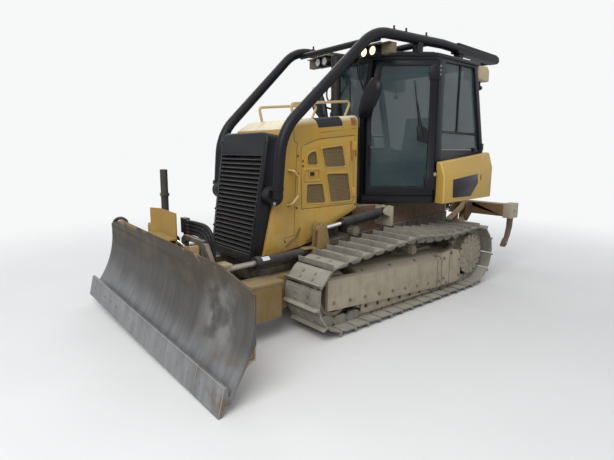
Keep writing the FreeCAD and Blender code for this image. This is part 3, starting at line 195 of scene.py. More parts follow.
def weathered(name, colour, rough, metal, dust, low_dust, rust, streak, spots,
              vary=0.12, clay=CLAY, bump=0.0015, haze=0.35, gloss=0.5, skirt=0.0):
    material, sheet = new_finish(name)
    place = sheet.node("ShaderNodeTexCoord", out="Object")
    facing = sheet.node("ShaderNodeTexCoord", out="Normal")
    up = sheet.node("ShaderNodeSeparateXYZ", None, {"Vector": facing}, out="Z")
    height = sheet.node("ShaderNodeSeparateXYZ", None, {"Vector": place}, out="Z")
    broad = sheet.noise(place, 2.3, 5)
    cloud = sheet.noise(place, 9.0, 6)
    fine = sheet.noise(place, 60.0, 4)
    grit = sheet.noise(place, 420.0, 2)
    runs = sheet.noise(place, 6.0, 5, (4.0, 4.0, 0.35))
    faded, stained, spotted = (tuple(c * share for c in colour) for share in (0.72, 0.45, 0.35))
    base = sheet.blend(broad.between(0.35, 0.65) * vary * 2, colour, faded)
    base = sheet.blend(runs.between(0.52, 0.75) * streak, base, stained)
    speckle = fine.between(0.62, 0.72) * cloud.between(0.45, 0.6)
    base = sheet.blend(speckle * spots, base, spotted)
    rusty = (cloud * 0.7 + fine * 0.3).between(0.60 - 0.14 * rust, 0.66) * min(1.0, rust * 2)
    base = sheet.blend(rusty, base, RUST)
    settled = up.between(0.15, 0.95) * (cloud + 0.35).between(0.25, 0.95) * dust * 2
    low = (1 - height.between(0.25, 1.5)) * (cloud * 0.6 + runs * 0.4).between(0.30, 0.62) * low_dust
    foot = (1 - height.between(0.02, 0.14)) * skirt
    powder = settled.maths("MAXIMUM", settled, low)
    powder = powder.maths("MAXIMUM", powder, broad.between(0.3, 0.7) * dust * haze)
    powder = powder.maths("MAXIMUM", powder, foot).maths("MINIMUM", powder, 1.0)
    colour_out = sheet.blend(powder, base, clay)
    colour_out = sheet.blend(grit.between(0.3, 0.7) * 0.15, colour_out, GRIME, "MULTIPLY")
    shine = sheet.node("ShaderNodeMapRange", None, {"Value": powder, "To Min": rough, "To Max": 0.92})
    shine = shine + rusty * 0.25 + (fine - 0.5) * 0.12
    relief = sheet.node("ShaderNodeBump", None, {"Strength": 0.5, "Distance": bump,
                        "Height": grit * 0.5 + fine * 0.8 + powder * 0.6 + rusty * 0.8})
    close_finish(sheet, "ShaderNodeBsdfPrincipled", {
        "Base Color": colour_out, "Roughness": shine, "Metallic": (1 - powder) * (1 - rusty) * metal,
        "Specular IOR Level": gloss, "Normal": relief})
    return material


# %% Paints, irons and plastics
# columns: colour, roughness, metal, dust, dust low down, rust, streaks, spots, and what else differs
FINISHES = {
    "hood_yellow": ((0.45, 0.262, 0.03), 0.42, 0, 0.5, 0.22, 0, 0.1, 0.12,
        dict(clay=(0.8, 0.74, 0.56), haze=0.1, gloss=0.4)),
    "side_yellow": ((0.52, 0.32, 0.052), 0.4, 0, 0.12, 0.2, 0, 0.06, 0.08, dict(haze=0.3)),
    "dull_yellow": ((0.4, 0.25, 0.06), 0.6, 0, 0.42, 0.75, 0.18, 0.3, 0.4, {}),
    "orange_dust": ((0.2, 0.105, 0.035), 0.65, 0, 0.25, 0.35, 0.35, 0.3, 0.5, {}),
    # painted shade: a darker copy of the yellow paint, and of its dust, for the shaded push frame
    "painted_shade_yellow": ((0.24, 0.145, 0.035), 0.6, 0, 0.3, 0.45, 0.25, 0.35, 0.5,
        dict(clay=(0.33, 0.265, 0.17))),
    "mast_yellow": ((0.29, 0.17, 0.022), 0.55, 0, 0.1, 0.1, 0, 0.15, 0.2, {}),
    "cab_black": ((0.007, 0.008, 0.012), 0.36, 0, 0.02, 0.05, 0, 0, 0, dict(gloss=0.22)),
    "guard_black": ((0.006, 0.007, 0.011), 0.42, 0, 0.03, 0.06, 0, 0, 0, dict(gloss=0.2)),
    "cylinder_black": ((0.009, 0.01, 0.015), 0.36, 0, 0.1, 0.14, 0, 0, 0.1, dict(gloss=0.28)),
    "hull_black": ((0.035, 0.032, 0.03), 0.7, 0, 0.4, 0.5, 0.1, 0, 0.4, dict(gloss=0.3)),
    "frame_tan": ((0.29, 0.245, 0.17), 0.8, 0, 0.32, 0.7, 0.08, 0.14, 0.22, dict(clay=(0.41, 0.36, 0.27))),
    "roller_iron": ((0.1, 0.085, 0.07), 0.75, 0, 0.45, 0.6, 0.2, 0, 0.5, {}),
    "track_steel": ((0.2, 0.185, 0.16), 0.66, 0.3, 0.36, 0.4, 0.03, 0, 0.55,
        dict(vary=0.3, clay=(0.47, 0.435, 0.36), bump=0.004, skirt=0.85)),
    "track_bright": ((0.56, 0.55, 0.52), 0.42, 0.7, 0.12, 0.2, 0, 0, 0.5, dict(clay=(0.5, 0.47, 0.4))),
    "hub_tan": ((0.25, 0.215, 0.16), 0.82, 0, 0.4, 0.7, 0.05, 0, 0.4, dict(clay=(0.36, 0.32, 0.25))),
    "rail_cream": ((0.56, 0.41, 0.2), 0.5, 0, 0.25, 0.2, 0, 0, 0.1, {}),
    "box_tan": ((0.5, 0.4, 0.24), 0.6, 0, 0.15, 0.2, 0, 0, 0.1, dict(haze=0.1)),
    "olive_tan": ((0.15, 0.125, 0.065), 0.6, 0, 0.2, 0.2, 0, 0, 0.1, {}),
    "worn_steel": ((0.42, 0.4, 0.37), 0.38, 0.85, 0.1, 0.15, 0.2, 0, 0.3, {}),
    "worn_yellow": ((0.62, 0.42, 0.13), 0.45, 0, 0.12, 0.2, 0, 0, 0.1, {}),
    "top_ochre": ((0.46, 0.31, 0.11), 0.6, 0, 0.15, 0.3, 0.15, 0, 0.5, {}),
    "worn_black": ((0.03, 0.031, 0.038), 0.38, 0.3, 0.03, 0.06, 0, 0, 0, dict(gloss=0.3)),
    # painted highlight and wear: pale grey on the grille guard's bevelled edges, for worn paint and the light
    # the slats catch
    "slat_edge": ((0.17, 0.18, 0.18), 0.45, 0.3, 0.06, 0.08, 0, 0, 0.3, {}),
    # painted shade: mesh_shadow darkens the plates behind the doors' window mesh, for the shade behind them
    "mesh_shadow": ((0.115, 0.076, 0.026), 0.8, 0, 0.12, 0.2, 0, 0, 0.3, {}),
    "mast_rust": ((0.022, 0.015, 0.014), 0.7, 0, 0.06, 0.1, 0.35, 0, 0.3, {}),
    "hull_brown": ((0.125, 0.06, 0.026), 0.75, 0, 0.2, 0.35, 0.4, 0.4, 0.4, {}),
    "soot_black": ((0.01, 0.009, 0.01), 0.6, 0, 0.04, 0.1, 0.1, 0, 0.2, dict(gloss=0.25)),
    # dark plates, and painted shade in the slots
    "plate_dark": ((0.012, 0.011, 0.016), 0.3, 0, 0.03, 0.05, 0, 0, 0.05, dict(gloss=0.3)),
    "bolt_tan": ((0.13, 0.1, 0.07), 0.7, 0.2, 0.2, 0.35, 0.2, 0, 0.3, {}),
    "bolt_dark": ((0.045, 0.03, 0.018), 0.6, 0, 0.1, 0.15, 0, 0, 0.2, {}),
    "bolt_pale": ((0.42, 0.42, 0.43), 0.4, 0.6, 0.1, 0.1, 0, 0, 0.1, {}),
    "worn_tan": ((0.44, 0.38, 0.28), 0.7, 0.2, 0.2, 0.4, 0.1, 0, 0.3, {}),
    "bolt_steel": ((0.34, 0.32, 0.29), 0.45, 0.6, 0.2, 0.3, 0.15, 0, 0.2, {}),
    "rubber": ((0.009, 0.009, 0.011), 0.5, 0, 0.02, 0.05, 0, 0, 0, dict(bump=0.0006, gloss=0.25)),
    "rust_iron": ((0.12, 0.062, 0.036), 0.8, 0.2, 0.15, 0.2, 0.6, 0, 0.4, {}),
    "orange_rust": ((0.33, 0.125, 0.03), 0.8, 0, 0.1, 0.1, 0.3, 0, 0.4, {}),
    "seat_cloth": ((0.05, 0.052, 0.058), 0.9, 0, 0.1, 0.1, 0, 0, 0.1, dict(bump=0.001)),
    "cab_plastic": ((0.035, 0.035, 0.04), 0.62, 0, 0.12, 0.1, 0, 0, 0, dict(bump=0.0008)),
    "mesh_bronze": ((0.27, 0.185, 0.075), 0.6, 0.2, 0.2, 0.3, 0, 0, 0.2, {}),
    "tag_white": ((0.72, 0.74, 0.78), 0.5, 0, 0.1, 0.1, 0, 0, 0.2, {}),
}
skins = {name: weathered(name, *numbers, **extra) for name, (*numbers, extra) in FINISHES.items()}
print("weathered finishes:", len(skins))

# %% [markdown]
# ## The blade's own wear
# Soil polishes a blade from below: the lower half is scoured to bare, pale steel, and above it the
# colour grows darker with height, dark grey and then dark brown over the upper half, while the top edge
# shows yellow where a little paint is left. Height alone drives the change, and noise stretched upright
# breaks it into scour marks.

# %% Blade finish
TILT = 0.037      # rise of the blade's edge for each metre across


def blade_finish():
    material, sheet = new_finish("blade_scoured")
    place = sheet.node("ShaderNodeTexCoord", out="Object")
    height = sheet.node("ShaderNodeSeparateXYZ", None, {"Vector": place}, out="Z")
    across = sheet.node("ShaderNodeSeparateXYZ", None, {"Vector": place}, out="X")
    broad = sheet.noise(place, 1.3, 4)
    cloud = sheet.noise(place, 5.0, 6)
    scour = sheet.noise(place, 6.0, 5, (3.0, 0.6, 0.5))
    fine = sheet.noise(place, 70.0, 4)
    grit = sheet.noise(place, 420.0, 2)
    level = height + across * TILT + (broad - 0.5) * 0.30 + (cloud - 0.5) * 0.06
    bare = sheet.blend(scour.between(0.35, 0.7), (0.20, 0.205, 0.212), (0.275, 0.28, 0.285))
    middle = sheet.blend(scour.between(0.35, 0.7), (0.062, 0.059, 0.056), (0.085, 0.081, 0.077))
    # darker and browner towards the top, set by height
    upper = sheet.blend(cloud.between(0.40, 0.68), (0.055, 0.043, 0.032), (0.085, 0.068, 0.050))
    colour = sheet.blend(level.between(0.16, 0.44), bare, middle)
    colour = sheet.blend(level.between(0.50, 0.74), colour, upper)
    patch = across.between(0.62, 0.85) * (1 - across.between(1.05, 1.2)) * level.between(0.25, 0.4)
    patch = patch * (1 - level.between(0.62, 0.78)) * (cloud + 0.1).between(0.45, 0.65)
    colour = sheet.blend(patch * 0.6, colour, (0.26, 0.255, 0.24))
    dirt = across.between(0.90, 1.05) * (1 - height.between(0.22, 0.34)) * cloud.between(0.42, 0.58)
    mud = (cloud * 0.6 + fine * 0.4).between(0.58, 0.66) * level.between(0.3, 0.7) * 0.3
    mud = mud.maths("MAXIMUM", mud, dirt * 0.8)
    colour = sheet.blend(mud, colour, (0.15, 0.105, 0.065))
    paint = level.between(0.80, 0.86) * cloud.between(0.47, 0.52)
    colour = sheet.blend(paint * 0.5, colour, (0.42, 0.27, 0.08))
    colour = sheet.blend(grit.between(0.3, 0.7) * 0.12, colour, GRIME, "MULTIPLY")
    shine = 0.45 + level.between(0.15, 0.6) * 0.28 + mud * 0.15
    relief = sheet.node("ShaderNodeBump", None, {"Strength": 0.4, "Distance": 0.0015,
                        "Height": grit * 0.3 + fine * 0.5 + scour * 0.5 + mud * 0.8})
    close_finish(sheet, "ShaderNodeBsdfPrincipled", {
        "Base Color": colour, "Roughness": shine, "Metallic": (1 - level.between(0.15, 0.5)) * 0.35,
        "Normal": relief})
    return material


skins["blade_scoured"] = blade_finish()

# %% [markdown]
# ## Chrome, glass and light
# A cylinder rod is hard chrome with a film of dust. The panes are tinted and thin: a Principled
# surface in front of a transparent one lets the seat show through without a heavy glass shader.
# A lamp's bulb gives light of its own, and an unlit lens is given a faint glow as painted sheen.

# %% Chrome, glass, lenses
def chrome_finish():
    material, sheet = new_finish("chrome")
    place = sheet.node("ShaderNodeTexCoord", out="Object")
    film = sheet.noise(place, 14.0, 4).between(0.45, 0.8) * 0.35
    colour = sheet.blend(film, (0.80, 0.80, 0.82), CLAY)
    close_finish(sheet, "ShaderNodeBsdfPrincipled", {
        "Base Color": colour, "Metallic": 1 - film, "Roughness": 0.10 + film * 0.8})
    return material


def glass_finish(name, tint, clear):
    material, sheet = new_finish(name)
    place = sheet.node("ShaderNodeTexCoord", out="Object")
    spot = sheet.node("ShaderNodeSeparateXYZ", None, {"Vector": place}, out="Z")
    film = sheet.noise(place, 1.6, 3).between(0.4, 0.8) * 0.08
    colour = sheet.blend(film, tint, (0.55, 0.55, 0.50))
    close_finish(sheet, "ShaderNodeBsdfPrincipled", {
        "Base Color": colour, "Roughness": 0.06 + film * 0.5, "IOR": 1.5,
        "Alpha": film + (1 - clear) + (2.4 - spot) * 0.02})
    material.surface_render_method = "BLENDED"
    return material


def lens_finish(name, colour, strength):
    material, sheet = new_finish(name)
    place = sheet.node("ShaderNodeTexCoord", out="Object")
    ribs = sheet.node("ShaderNodeTexWave", None,
                      {"Vector": place, "Scale": 60.0, "Distortion": 0.4})
    glow = sheet.blend(ribs, tuple(c * 0.75 for c in colour), colour)
    close_finish(sheet, "ShaderNodeBsdfPrincipled", {
        "Base Color": glow, "Roughness": 0.12, "Emission Color": glow, "Emission Strength": strength})
    return material


skins["chrome"] = chrome_finish()
skins["pane"] = glass_finish("pane", (0.030, 0.058, 0.066), 0.48)
skins["mirror_glass"] = glass_finish("mirror_glass", (0.03, 0.035, 0.04), 0.0)
skins["lamp_lit"] = lens_finish("lamp_lit", (1.0, 0.80, 0.50), 1.6)
# painted sheen: the unlit lenses glow faintly, at strength 0.05
skins["unlit_lens_painted_glow"] = lens_finish("unlit_lens_painted_glow", (0.55, 0.55, 0.52), 0.05)
print("finishes:", sorted(skins))

# %% [markdown]
# ## Dressing a solid
# A carried-over solid is loose triangles with knife edges. A copy has its doubles merged and flat
# faces joined, and a Bevel modifier rounds what is sharper than 35 degrees. The bevel's own faces
# take a second finish, because paint goes first along the edges; on the grille guard this pale grey
# is also a painted highlight along the slats. The copy then stands for the node.

# %% Dressing
def put(name, mesh, body):
    """An object at the origin for mesh, riding on body."""
    piece = bpy.data.objects.new(name, mesh)
    bpy.context.scene.collection.objects.link(piece)
    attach(piece, body)
    return piece


def plain(holder):
    """The mesh of an object with its modifiers applied. The holder goes."""
    graph = bpy.context.evaluated_depsgraph_get()
    mesh = bpy.data.meshes.new_from_object(holder.evaluated_get(graph))
    bpy.data.objects.remove(holder)
    return mesh


def soften(mesh, degrees=40):
    """Smooth shading that stays crisp across edges sharper than degrees."""
    mesh.polygons.foreach_set("use_smooth", [True] * len(mesh.polygons))
    mesh.set_sharp_from_angle(angle=math.radians(degrees))


def holder_for(mesh):
    holder = bpy.data.objects.new("holder", mesh)
    bpy.context.scene.collection.objects.link(holder)
    return holder


def dressed(node, skin, edge, width):
    source = frame["nodes"][node]
    form = bmesh.new()
    form.from_mesh(source.data)
    bmesh.ops.remove_doubles(form, verts=form.verts, dist=0.00005)
    bmesh.ops.dissolve_limit(form, angle_limit=math.radians(0.5), verts=form.verts, edges=form.edges)
    mesh = bpy.data.meshes.new(node + "_dressed")
    form.to_mesh(mesh)
    form.free()
    mesh.materials.clear()
    mesh.materials.append(skins[skin])
    mesh.materials.append(skins[edge])
    holder = holder_for(mesh)
    bevel = holder.modifiers.new("bevel", "BEVEL")
    bevel.width, bevel.segments, bevel.material = width, 2, 1
    bevel.limit_method, bevel.angle_limit = "ANGLE", math.radians(35)
    bevel.use_clamp_overlap = True
    mesh = plain(holder)
    soften(mesh)
    piece = put(node + "_dressed", mesh, source["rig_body"])
    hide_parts(node)
    return piece


# columns: node, finish, finish along its edges, width of the rounding in metres
DRESSED = [
    ("hood", "hood_yellow", "worn_yellow", 0.005),
    ("engine_door_left", "hood_yellow", "worn_yellow", 0.003),
    ("engine_door_right", "hood_yellow", "worn_yellow", 0.003),
    # the grille guard's edges take a pale grey that is partly wear and partly painted highlight
    ("grille_guard", "guard_black", "slat_edge", 0.005),
    ("side_boxes", "side_yellow", "worn_yellow", 0.012), ("rear_tank", "hood_yellow", "worn_yellow", 0.012),
    ("cab_frame", "cab_black", "worn_black", 0.005), ("cab_roof", "cab_black", "worn_black", 0.008),
    ("cab_door_left", "cab_black", "worn_black", 0.004),
    ("cab_door_right", "cab_black", "worn_black", 0.004),
    ("cab_interior", "cab_plastic", "cab_plastic", 0.008), ("main_frame", "hull_black", "worn_tan", 0.005),
    ("track_frames", "frame_tan", "worn_tan", 0.006), ("idlers", "roller_iron", "worn_tan", 0.003),
    ("sprockets", "hub_tan", "worn_tan", 0.003), ("track_rollers", "roller_iron", "worn_tan", 0.003),
    # the push frame wears the darker painted-shade copy of the yellow
    ("push_frame", "painted_shade_yellow", "worn_tan", 0.005),
    ("blade_carrier", "dull_yellow", "worn_yellow", 0.004),
    ("mouldboard", "blade_scoured", "top_ochre", 0.004), ("blade_back", "dull_yellow", "worn_tan", 0.003),
    ("cutting_edge", "blade_scoured", "worn_steel", 0.003),
    ("sensor_mast", "mast_yellow", "worn_yellow", 0.002),
    ("ripper_bracket", "dull_yellow", "worn_tan", 0.003),
    ("ripper_lower_links", "dull_yellow", "worn_tan", 0.003),
    ("ripper_upper_links", "dull_yellow", "worn_tan", 0.003),
    ("ripper_beam", "orange_dust", "worn_tan", 0.006), ("front_lamps", "cab_black", "worn_black", 0.004),
    ("roof_boxes", "box_tan", "box_tan", 0.012), ("exhaust_stack", "soot_black", "worn_black", 0.002),
    ("hood_rails", "rail_cream", "rail_cream", 0.001),
]
dressed_pieces = {}
for node, skin, edge, width in DRESSED:
    dressed_pieces[node] = dressed(node, skin, edge, width)
    print("dressed", node, len(dressed_pieces[node].data.polygons), "faces")


# %% [markdown]
# ### Room round the pivot pins
# A pin in its bore is drawn with flat facets, and turned facets would cut each other by a hair. The
# hull's two pivot pins are drawn in by a millimetre where the push frame's arms swing on them.

# %% Pivot pins
PIVOT_Y, PIVOT_Z = -0.150, 0.430
PIN_FROM_X, PIN_NEAR, PIN_FAR = 0.42, 0.030, 0.0385
DRAW_IN = 0.001

drawn = 0
for vertex in dressed_pieces["main_frame"].data.vertices:
    spoke = Vector((0, vertex.co.y - PIVOT_Y, vertex.co.z - PIVOT_Z))
    if abs(vertex.co.x) > PIN_FROM_X and PIN_NEAR < spoke.length < PIN_FAR:
        vertex.co -= spoke.normalized() * DRAW_IN
        drawn += 1
print("pin points drawn in:", drawn)

# %% [markdown]
# ## Solids that keep their own mesh
# Tubes, rods and panes are round or flat already, so they only take a finish.

# %% Finishes on the solids that stay
KEPT = {
    "sweeps": "guard_black", "cab_glass": "pane", "cab_door_left_glass": "pane",
    "cab_door_right_glass": "pane", "radiator": "hull_black", "engine_block": "hull_black",
    "seat_cushions": "cab_plastic", "track_left": "track_steel", "track_right": "track_steel",
    "tilt_barrel": "cylinder_black", "tilt_rod": "chrome",
    "ripper_barrel": "cylinder_black", "ripper_rod": "chrome",
}
SIDES = ((1, "left"), (-1, "right"))
for side, word in SIDES:
    for name, rod_skin in (("lift", "chrome"), ("angle", "worn_steel")):
        KEPT[f"{name}_barrel_{word}"] = "cylinder_black"
        KEPT[f"{name}_rod_{word}"] = rod_skin
for node, skin in KEPT.items():
    data = frame["nodes"][node].data
    data.materials.clear()
    data.materials.append(skins[skin])

# %% [markdown]
# ## Floor and light
# A pale floor, an even sky and one large soft lamp up to the left front. The world is white to the
# camera and to reflections, and a plain grey to everything that it lights.

# %% Floor and light
WHITE = (0.93, 0.935, 0.94)
FLOOR_HALF = 60
# columns: name, place, size, power
LAMPS = (("key", (3.5, -5.5, 6.5), 5.0, 430.0), ("fill", (-6.0, 2.0, 6.0), 5.0, 160.0))
LIT_POINT = Vector((0, -0.3, 1.0))


def studio():
    floor = bpy.data.meshes.new("floor")
    corners = [(x * FLOOR_HALF, y * FLOOR_HALF, 0) for x, y in ((-1, -1), (1, -1), (1, 1), (-1, 1))]
    floor.from_pydata(corners, [], [(0, 1, 2, 3)])
    material, sheet = new_finish("floor_pale")
    place = sheet.node("ShaderNodeTexCoord", out="Object")
    tone = sheet.blend(sheet.noise(place, 1.2, 4), (0.70, 0.695, 0.685), (0.76, 0.755, 0.745))
    lit = sheet.node("ShaderNodeBsdfPrincipled", None, {"Base Color": tone, "Roughness": 0.9})
    glow = sheet.node("ShaderNodeEmission", None, {"Color": (*WHITE, 1), "Strength": 1.0})
    far = sheet.node("ShaderNodeVectorMath", {"operation": "LENGTH"}, {0: place}, out="Value")
    share = far.between(2.6, 7.5) * sheet.node("ShaderNodeLightPath", out="Is Camera Ray")
    sheet.node("ShaderNodeOutputMaterial", None,
               {"Surface": sheet.node("ShaderNodeMixShader", None, {0: share, 1: lit, 2: glow})})
    floor.materials.append(material)
    ground = bpy.data.objects.new("floor", floor)
    bpy.context.scene.collection.objects.link(ground)
    ground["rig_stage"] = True
    world = bpy.data.worlds.new("studio")
    world.use_nodes = True
    world.node_tree.nodes.clear()
    sky = Sheet(world.node_tree)
    ray = {name: sky.node("ShaderNodeLightPath", out=name)
           for name in ("Is Camera Ray", "Is Glossy Ray", "Is Transmission Ray")}
    seen = ray["Is Camera Ray"].maths("MAXIMUM", ray["Is Camera Ray"], ray["Is Transmission Ray"])
    seen = seen.maths("MAXIMUM", seen, ray["Is Glossy Ray"])
    colour = sky.blend(seen, (0.62, 0.64, 0.67), WHITE)
    light = sky.node("ShaderNodeBackground", None, {"Color": colour, "Strength": 1.0})
    sky.node("ShaderNodeOutputWorld", None, {"Surface": light})
    bpy.context.scene.world = world
    for name, place, size, power in LAMPS:
        lamp = bpy.data.lights.new(name, "AREA")
        lamp.size, lamp.energy = size, power
        holder = bpy.data.objects.new(name, lamp)
        holder.location = place
        holder.rotation_mode = "QUATERNION"
        holder.rotation_quaternion = (Vector(place) - LIT_POINT).to_track_quat("Z", "Y")
        bpy.context.scene.collection.objects.link(holder)
    bpy.context.scene.view_settings.view_transform = "Standard"


studio()

# %% [markdown]
# ## The tracks
# A track is thirty-seven equal shoes on a chain, so one shoe is modelled and a Geometry Nodes tree
# sets it round the loop. The path is the line of the chain's pins: flat on the ground, round the
# sprocket, sagging to the carrier roller, and down round the idler.

# %% The chain's path
TRACK_X, SHOES = 0.750, 37
PIN_DEPTH, SHOE_HALF = 0.095, 0.220
IDLER, SPROCKET, CARRIER = (-0.980, 0.345), (1.182, 0.378), (0.097, 0.692)
SAG = 0.034


def on_wheel(centre, radius, angle):
    return centre[0] + radius * math.cos(angle), centre[1] + radius * math.sin(angle)


def chain_path():
    idler_r, sprocket_r = IDLER[1] - PIN_DEPTH, SPROCKET[1] - PIN_DEPTH
    lean = math.atan2(CARRIER[1] - IDLER[1] - idler_r, CARRIER[0] - IDLER[0])
    points = [(IDLER[0], PIN_DEPTH)]
    points += [on_wheel(SPROCKET, sprocket_r, math.radians(3 * k - 90)) for k in range(61)]
    top = SPROCKET[1] + sprocket_r
    for k in range(1, 41):
        t = k / 40
        points.append((SPROCKET[0] + (CARRIER[0] - SPROCKET[0]) * t,
                       top + (CARRIER[1] - top) * t - SAG * 4 * t * (1 - t)))
    return points + [on_wheel(IDLER, idler_r, math.pi / 2 + lean + (math.pi - lean) * k / 60)
                     for k in range(61)]


def chain_pins():
    path = chain_path()
    spans = [math.dist(a, b) for a, b in zip(path, path[1:])]
    step, gone, pins = sum(spans) / SHOES, 0.0, []
    for a, b, span in zip(path, path[1:], spans):
        while len(pins) < SHOES and len(pins) * step <= gone + span:
            t = (len(pins) * step - gone) / max(span, 1e-9)
            pins.append((a[0] + (b[0] - a[0]) * t, a[1] + (b[1] - a[1]) * t))
        gone += span
    return pins


pins = chain_pins()
PITCH = math.dist(pins[0], pins[1])
print("chain pitch", round(PITCH * 1000, 1), "mm")

# %% [markdown]
# ### One shoe
# A rolled plate with a single grouser bar, turned down lips, four bolt heads, and the pair of
# forged links with their pin underneath. Across is X, travel is Y, and Z points out of the loop.

# %% One shoe
def skin_over(form, rings, ends=True, closed=False):
    """Faces from each ring of points to the next, over both ends, or round again to the first."""
    rings = [[form.verts.new(place) for place in ring] for ring in rings]
    for a, b in zip(rings, rings[1:] + (rings[:1] if closed else [])):
        count = max(len(a), len(b))
        for k in range(count):
            j = (k + 1) % count
            corners = a[k % len(a)], a[j % len(a)], b[j % len(b)], b[k % len(b)]
            form.faces.new(list(dict.fromkeys(corners)))
    if ends:
        form.faces.new(rings[0][::-1])
        form.faces.new(rings[-1])


def slab(form, outline, x0, x1):
    """Extrude a (y, z) outline between two places across."""
    skin_over(form, [[(x, y, z) for y, z in outline] for x in sorted((x0, x1))])


def circle(centre, axis, along, radius, sides):
    """Points round an axis, some way along it from centre. One point will do for no radius."""
    turn = Vector(axis).to_track_quat("Z", "Y").to_matrix()
    angles = [2 * math.pi * k / sides for k in range(sides if radius else 1)]
    return [Vector(centre) + turn @ Vector((radius * math.cos(a), radius * math.sin(a), along))
            for a in angles]


def drum(form, centre, axis, radius, length, sides=8, tip=None):
    """A closed drum from centre along axis, narrowed to tip at its far end."""
    tip = radius if tip is None else tip
    skin_over(form, [circle(centre, axis, 0, radius, sides), circle(centre, axis, length, tip, sides)])


def finished_mesh(form, name, skin):
    bmesh.ops.recalc_face_normals(form, faces=form.faces)
    mesh = bpy.data.meshes.new(name)
    form.to_mesh(mesh)
    form.free()
    mesh.materials.append(skins[skin])
    return mesh


RAIL_NEAR, RAIL_FAR, RAIL_MIDDLE = 0.062, 0.090, 0.077
PLATE_TOP = 0.054


def shoe_mesh():
    form = bmesh.new()
    top, half, pin_y = PLATE_TOP, PITCH * 0.47, -PITCH * 0.47
    lip = [(-PITCH * 0.60, 0.034), (-PITCH * 0.60, 0.040), (-PITCH * 0.52, 0.0415),
           (-half + 0.004, top - 0.004), (-half + 0.012, top), (PITCH * 0.30, top + 0.002)]
    grouser = [(PITCH * 0.345, top + 0.010), (PITCH * 0.375, 0.0912), (PITCH * 0.39, 0.0940),
               (PITCH * 0.425, 0.0940), (PITCH * 0.437, 0.0905)]
    under = [(half, top - 0.002), (half, 0.0435), (-half, 0.036)]
    slab(form, lip + grouser + under, -SHOE_HALF, SHOE_HALF)
    low = [(0.26, -0.046), (0.40, -0.030), (0.47, -0.016), (0.47, 0.018), (0.40, 0.041)]
    link = [(-PITCH * y, z) for y, z in low[2::-1]] + [(PITCH * y, z) for y, z in low]
    link += [(-PITCH * y, z) for y, z in low[:2:-1]]
    for side in (-1, 1):
        slab(form, link, side * RAIL_NEAR, side * RAIL_FAR)
        drum(form, (side * RAIL_FAR, pin_y, 0), (side, 0, 0), 0.018, 0.006)
        for y in (-PITCH * 0.22, PITCH * 0.12):
            drum(form, (side * RAIL_MIDDLE, y, top), (0, 0, 1), 0.014, 0.011, 6, 0.0125)
    drum(form, (-RAIL_NEAR, pin_y, 0), (1, 0, 0), 0.024, 2 * RAIL_NEAR, 10)
    return finished_mesh(form, "shoe", "track_steel")


# %% [markdown]
# ### Setting the shoes
# Each point of the input mesh is the middle of a link and carries two directions, along the chain
# and outwards. Axes to Rotation turns those into the shoe's stance. Realize Instances makes one
# plain mesh of it, because an exporter drops instances.

# %% A tree that sets copies on points
def geometry_tree(name, inputs):
    """An empty Geometry Nodes tree with its named inputs, wrapped as values."""
    tree = bpy.data.node_groups.new(name, "GeometryNodeTree")
    tree.interface.new_socket("Geometry", in_out="INPUT", socket_type="NodeSocketGeometry")
    for label, kind, default in inputs:
        socket = tree.interface.new_socket(label, in_out="INPUT", socket_type=kind)
        if default is not None:
            socket.default_value = default
    tree.interface.new_socket("Geometry", in_out="OUTPUT", socket_type="NodeSocketGeometry")
    sheet = Sheet(tree)
    entry = tree.nodes.new("NodeGroupInput")
    return tree, sheet, {s.name: Value(sheet, s) for s in entry.outputs if s.name}


def close_tree(sheet, geometry, material):
    whole = sheet.node("GeometryNodeRealizeInstances", None, {"Geometry": geometry})
    whole = sheet.node("GeometryNodeSetMaterial", None, {"Geometry": whole, "Material": material})
    sheet.node("NodeGroupOutput", None, {"Geometry": whole})


def grown(tree, mesh, **values):
    """The plain mesh that a tree makes from mesh with these inputs."""
    holder = holder_for(mesh)
    modifier = holder.modifiers.new(tree.name, "NODES")
    modifier.node_group = tree
    names = {item.name: item.identifier for item in tree.interface.items_tree
             if item.in_out == "INPUT"}
    for label, value in values.items():
        modifier[names[label.replace("_", " ").capitalize()]] = value
    return plain(holder)


def directed_points(rows):
    """A mesh of loose points, each with the vectors along and out."""
    mesh = bpy.data.meshes.new("points")
    mesh.from_pydata([row[0] for row in rows], [], [])
    for index, label in ((1, "along"), (2, "out")):
        layer = mesh.attributes.new(label, "FLOAT_VECTOR", "POINT")
        for k, row in enumerate(rows):
            layer.data[k].vector = row[index]
    return mesh


def stance(sheet):
    """Rotation from the vectors along (Y) and out (Z) that each point carries."""
    ways = {label: sheet.node("GeometryNodeInputNamedAttribute", {"data_type": "FLOAT_VECTOR"},
                              {"Name": label}) for label in ("along", "out")}
    return sheet.node("FunctionNodeAxesToRotation", {"primary_axis": "Z", "secondary_axis": "Y"},
                      {"Primary Axis": ways["out"], "Secondary Axis": ways["along"]})


def copies_tree():
    tree, sheet, given = geometry_tree("set_copies", [("Model", "NodeSocketObject", None),
                                                      ("Material", "NodeSocketMaterial", None)])
    model = sheet.node("GeometryNodeObjectInfo", {"transform_space": "ORIGINAL"},
                       {"Object": given["Model"]}, out="Geometry")
    placed = sheet.node("GeometryNodeInstanceOnPoints", None, {
        "Points": given["Geometry"], "Instance": model, "Rotation": stance(sheet)})
    close_tree(sheet, placed, given["Material"])
    return tree


set_copies = copies_tree()


def repeated(name, model_mesh, rows, skin, body):
    """Copies of a mesh at rows of (place, along, out), as one piece."""
    model = holder_for(model_mesh)
    mesh = grown(set_copies, directed_points(rows), model=model, material=skins[skin])
    bpy.data.objects.remove(model)
    soften(mesh, 30)
    return put(name, mesh, body)


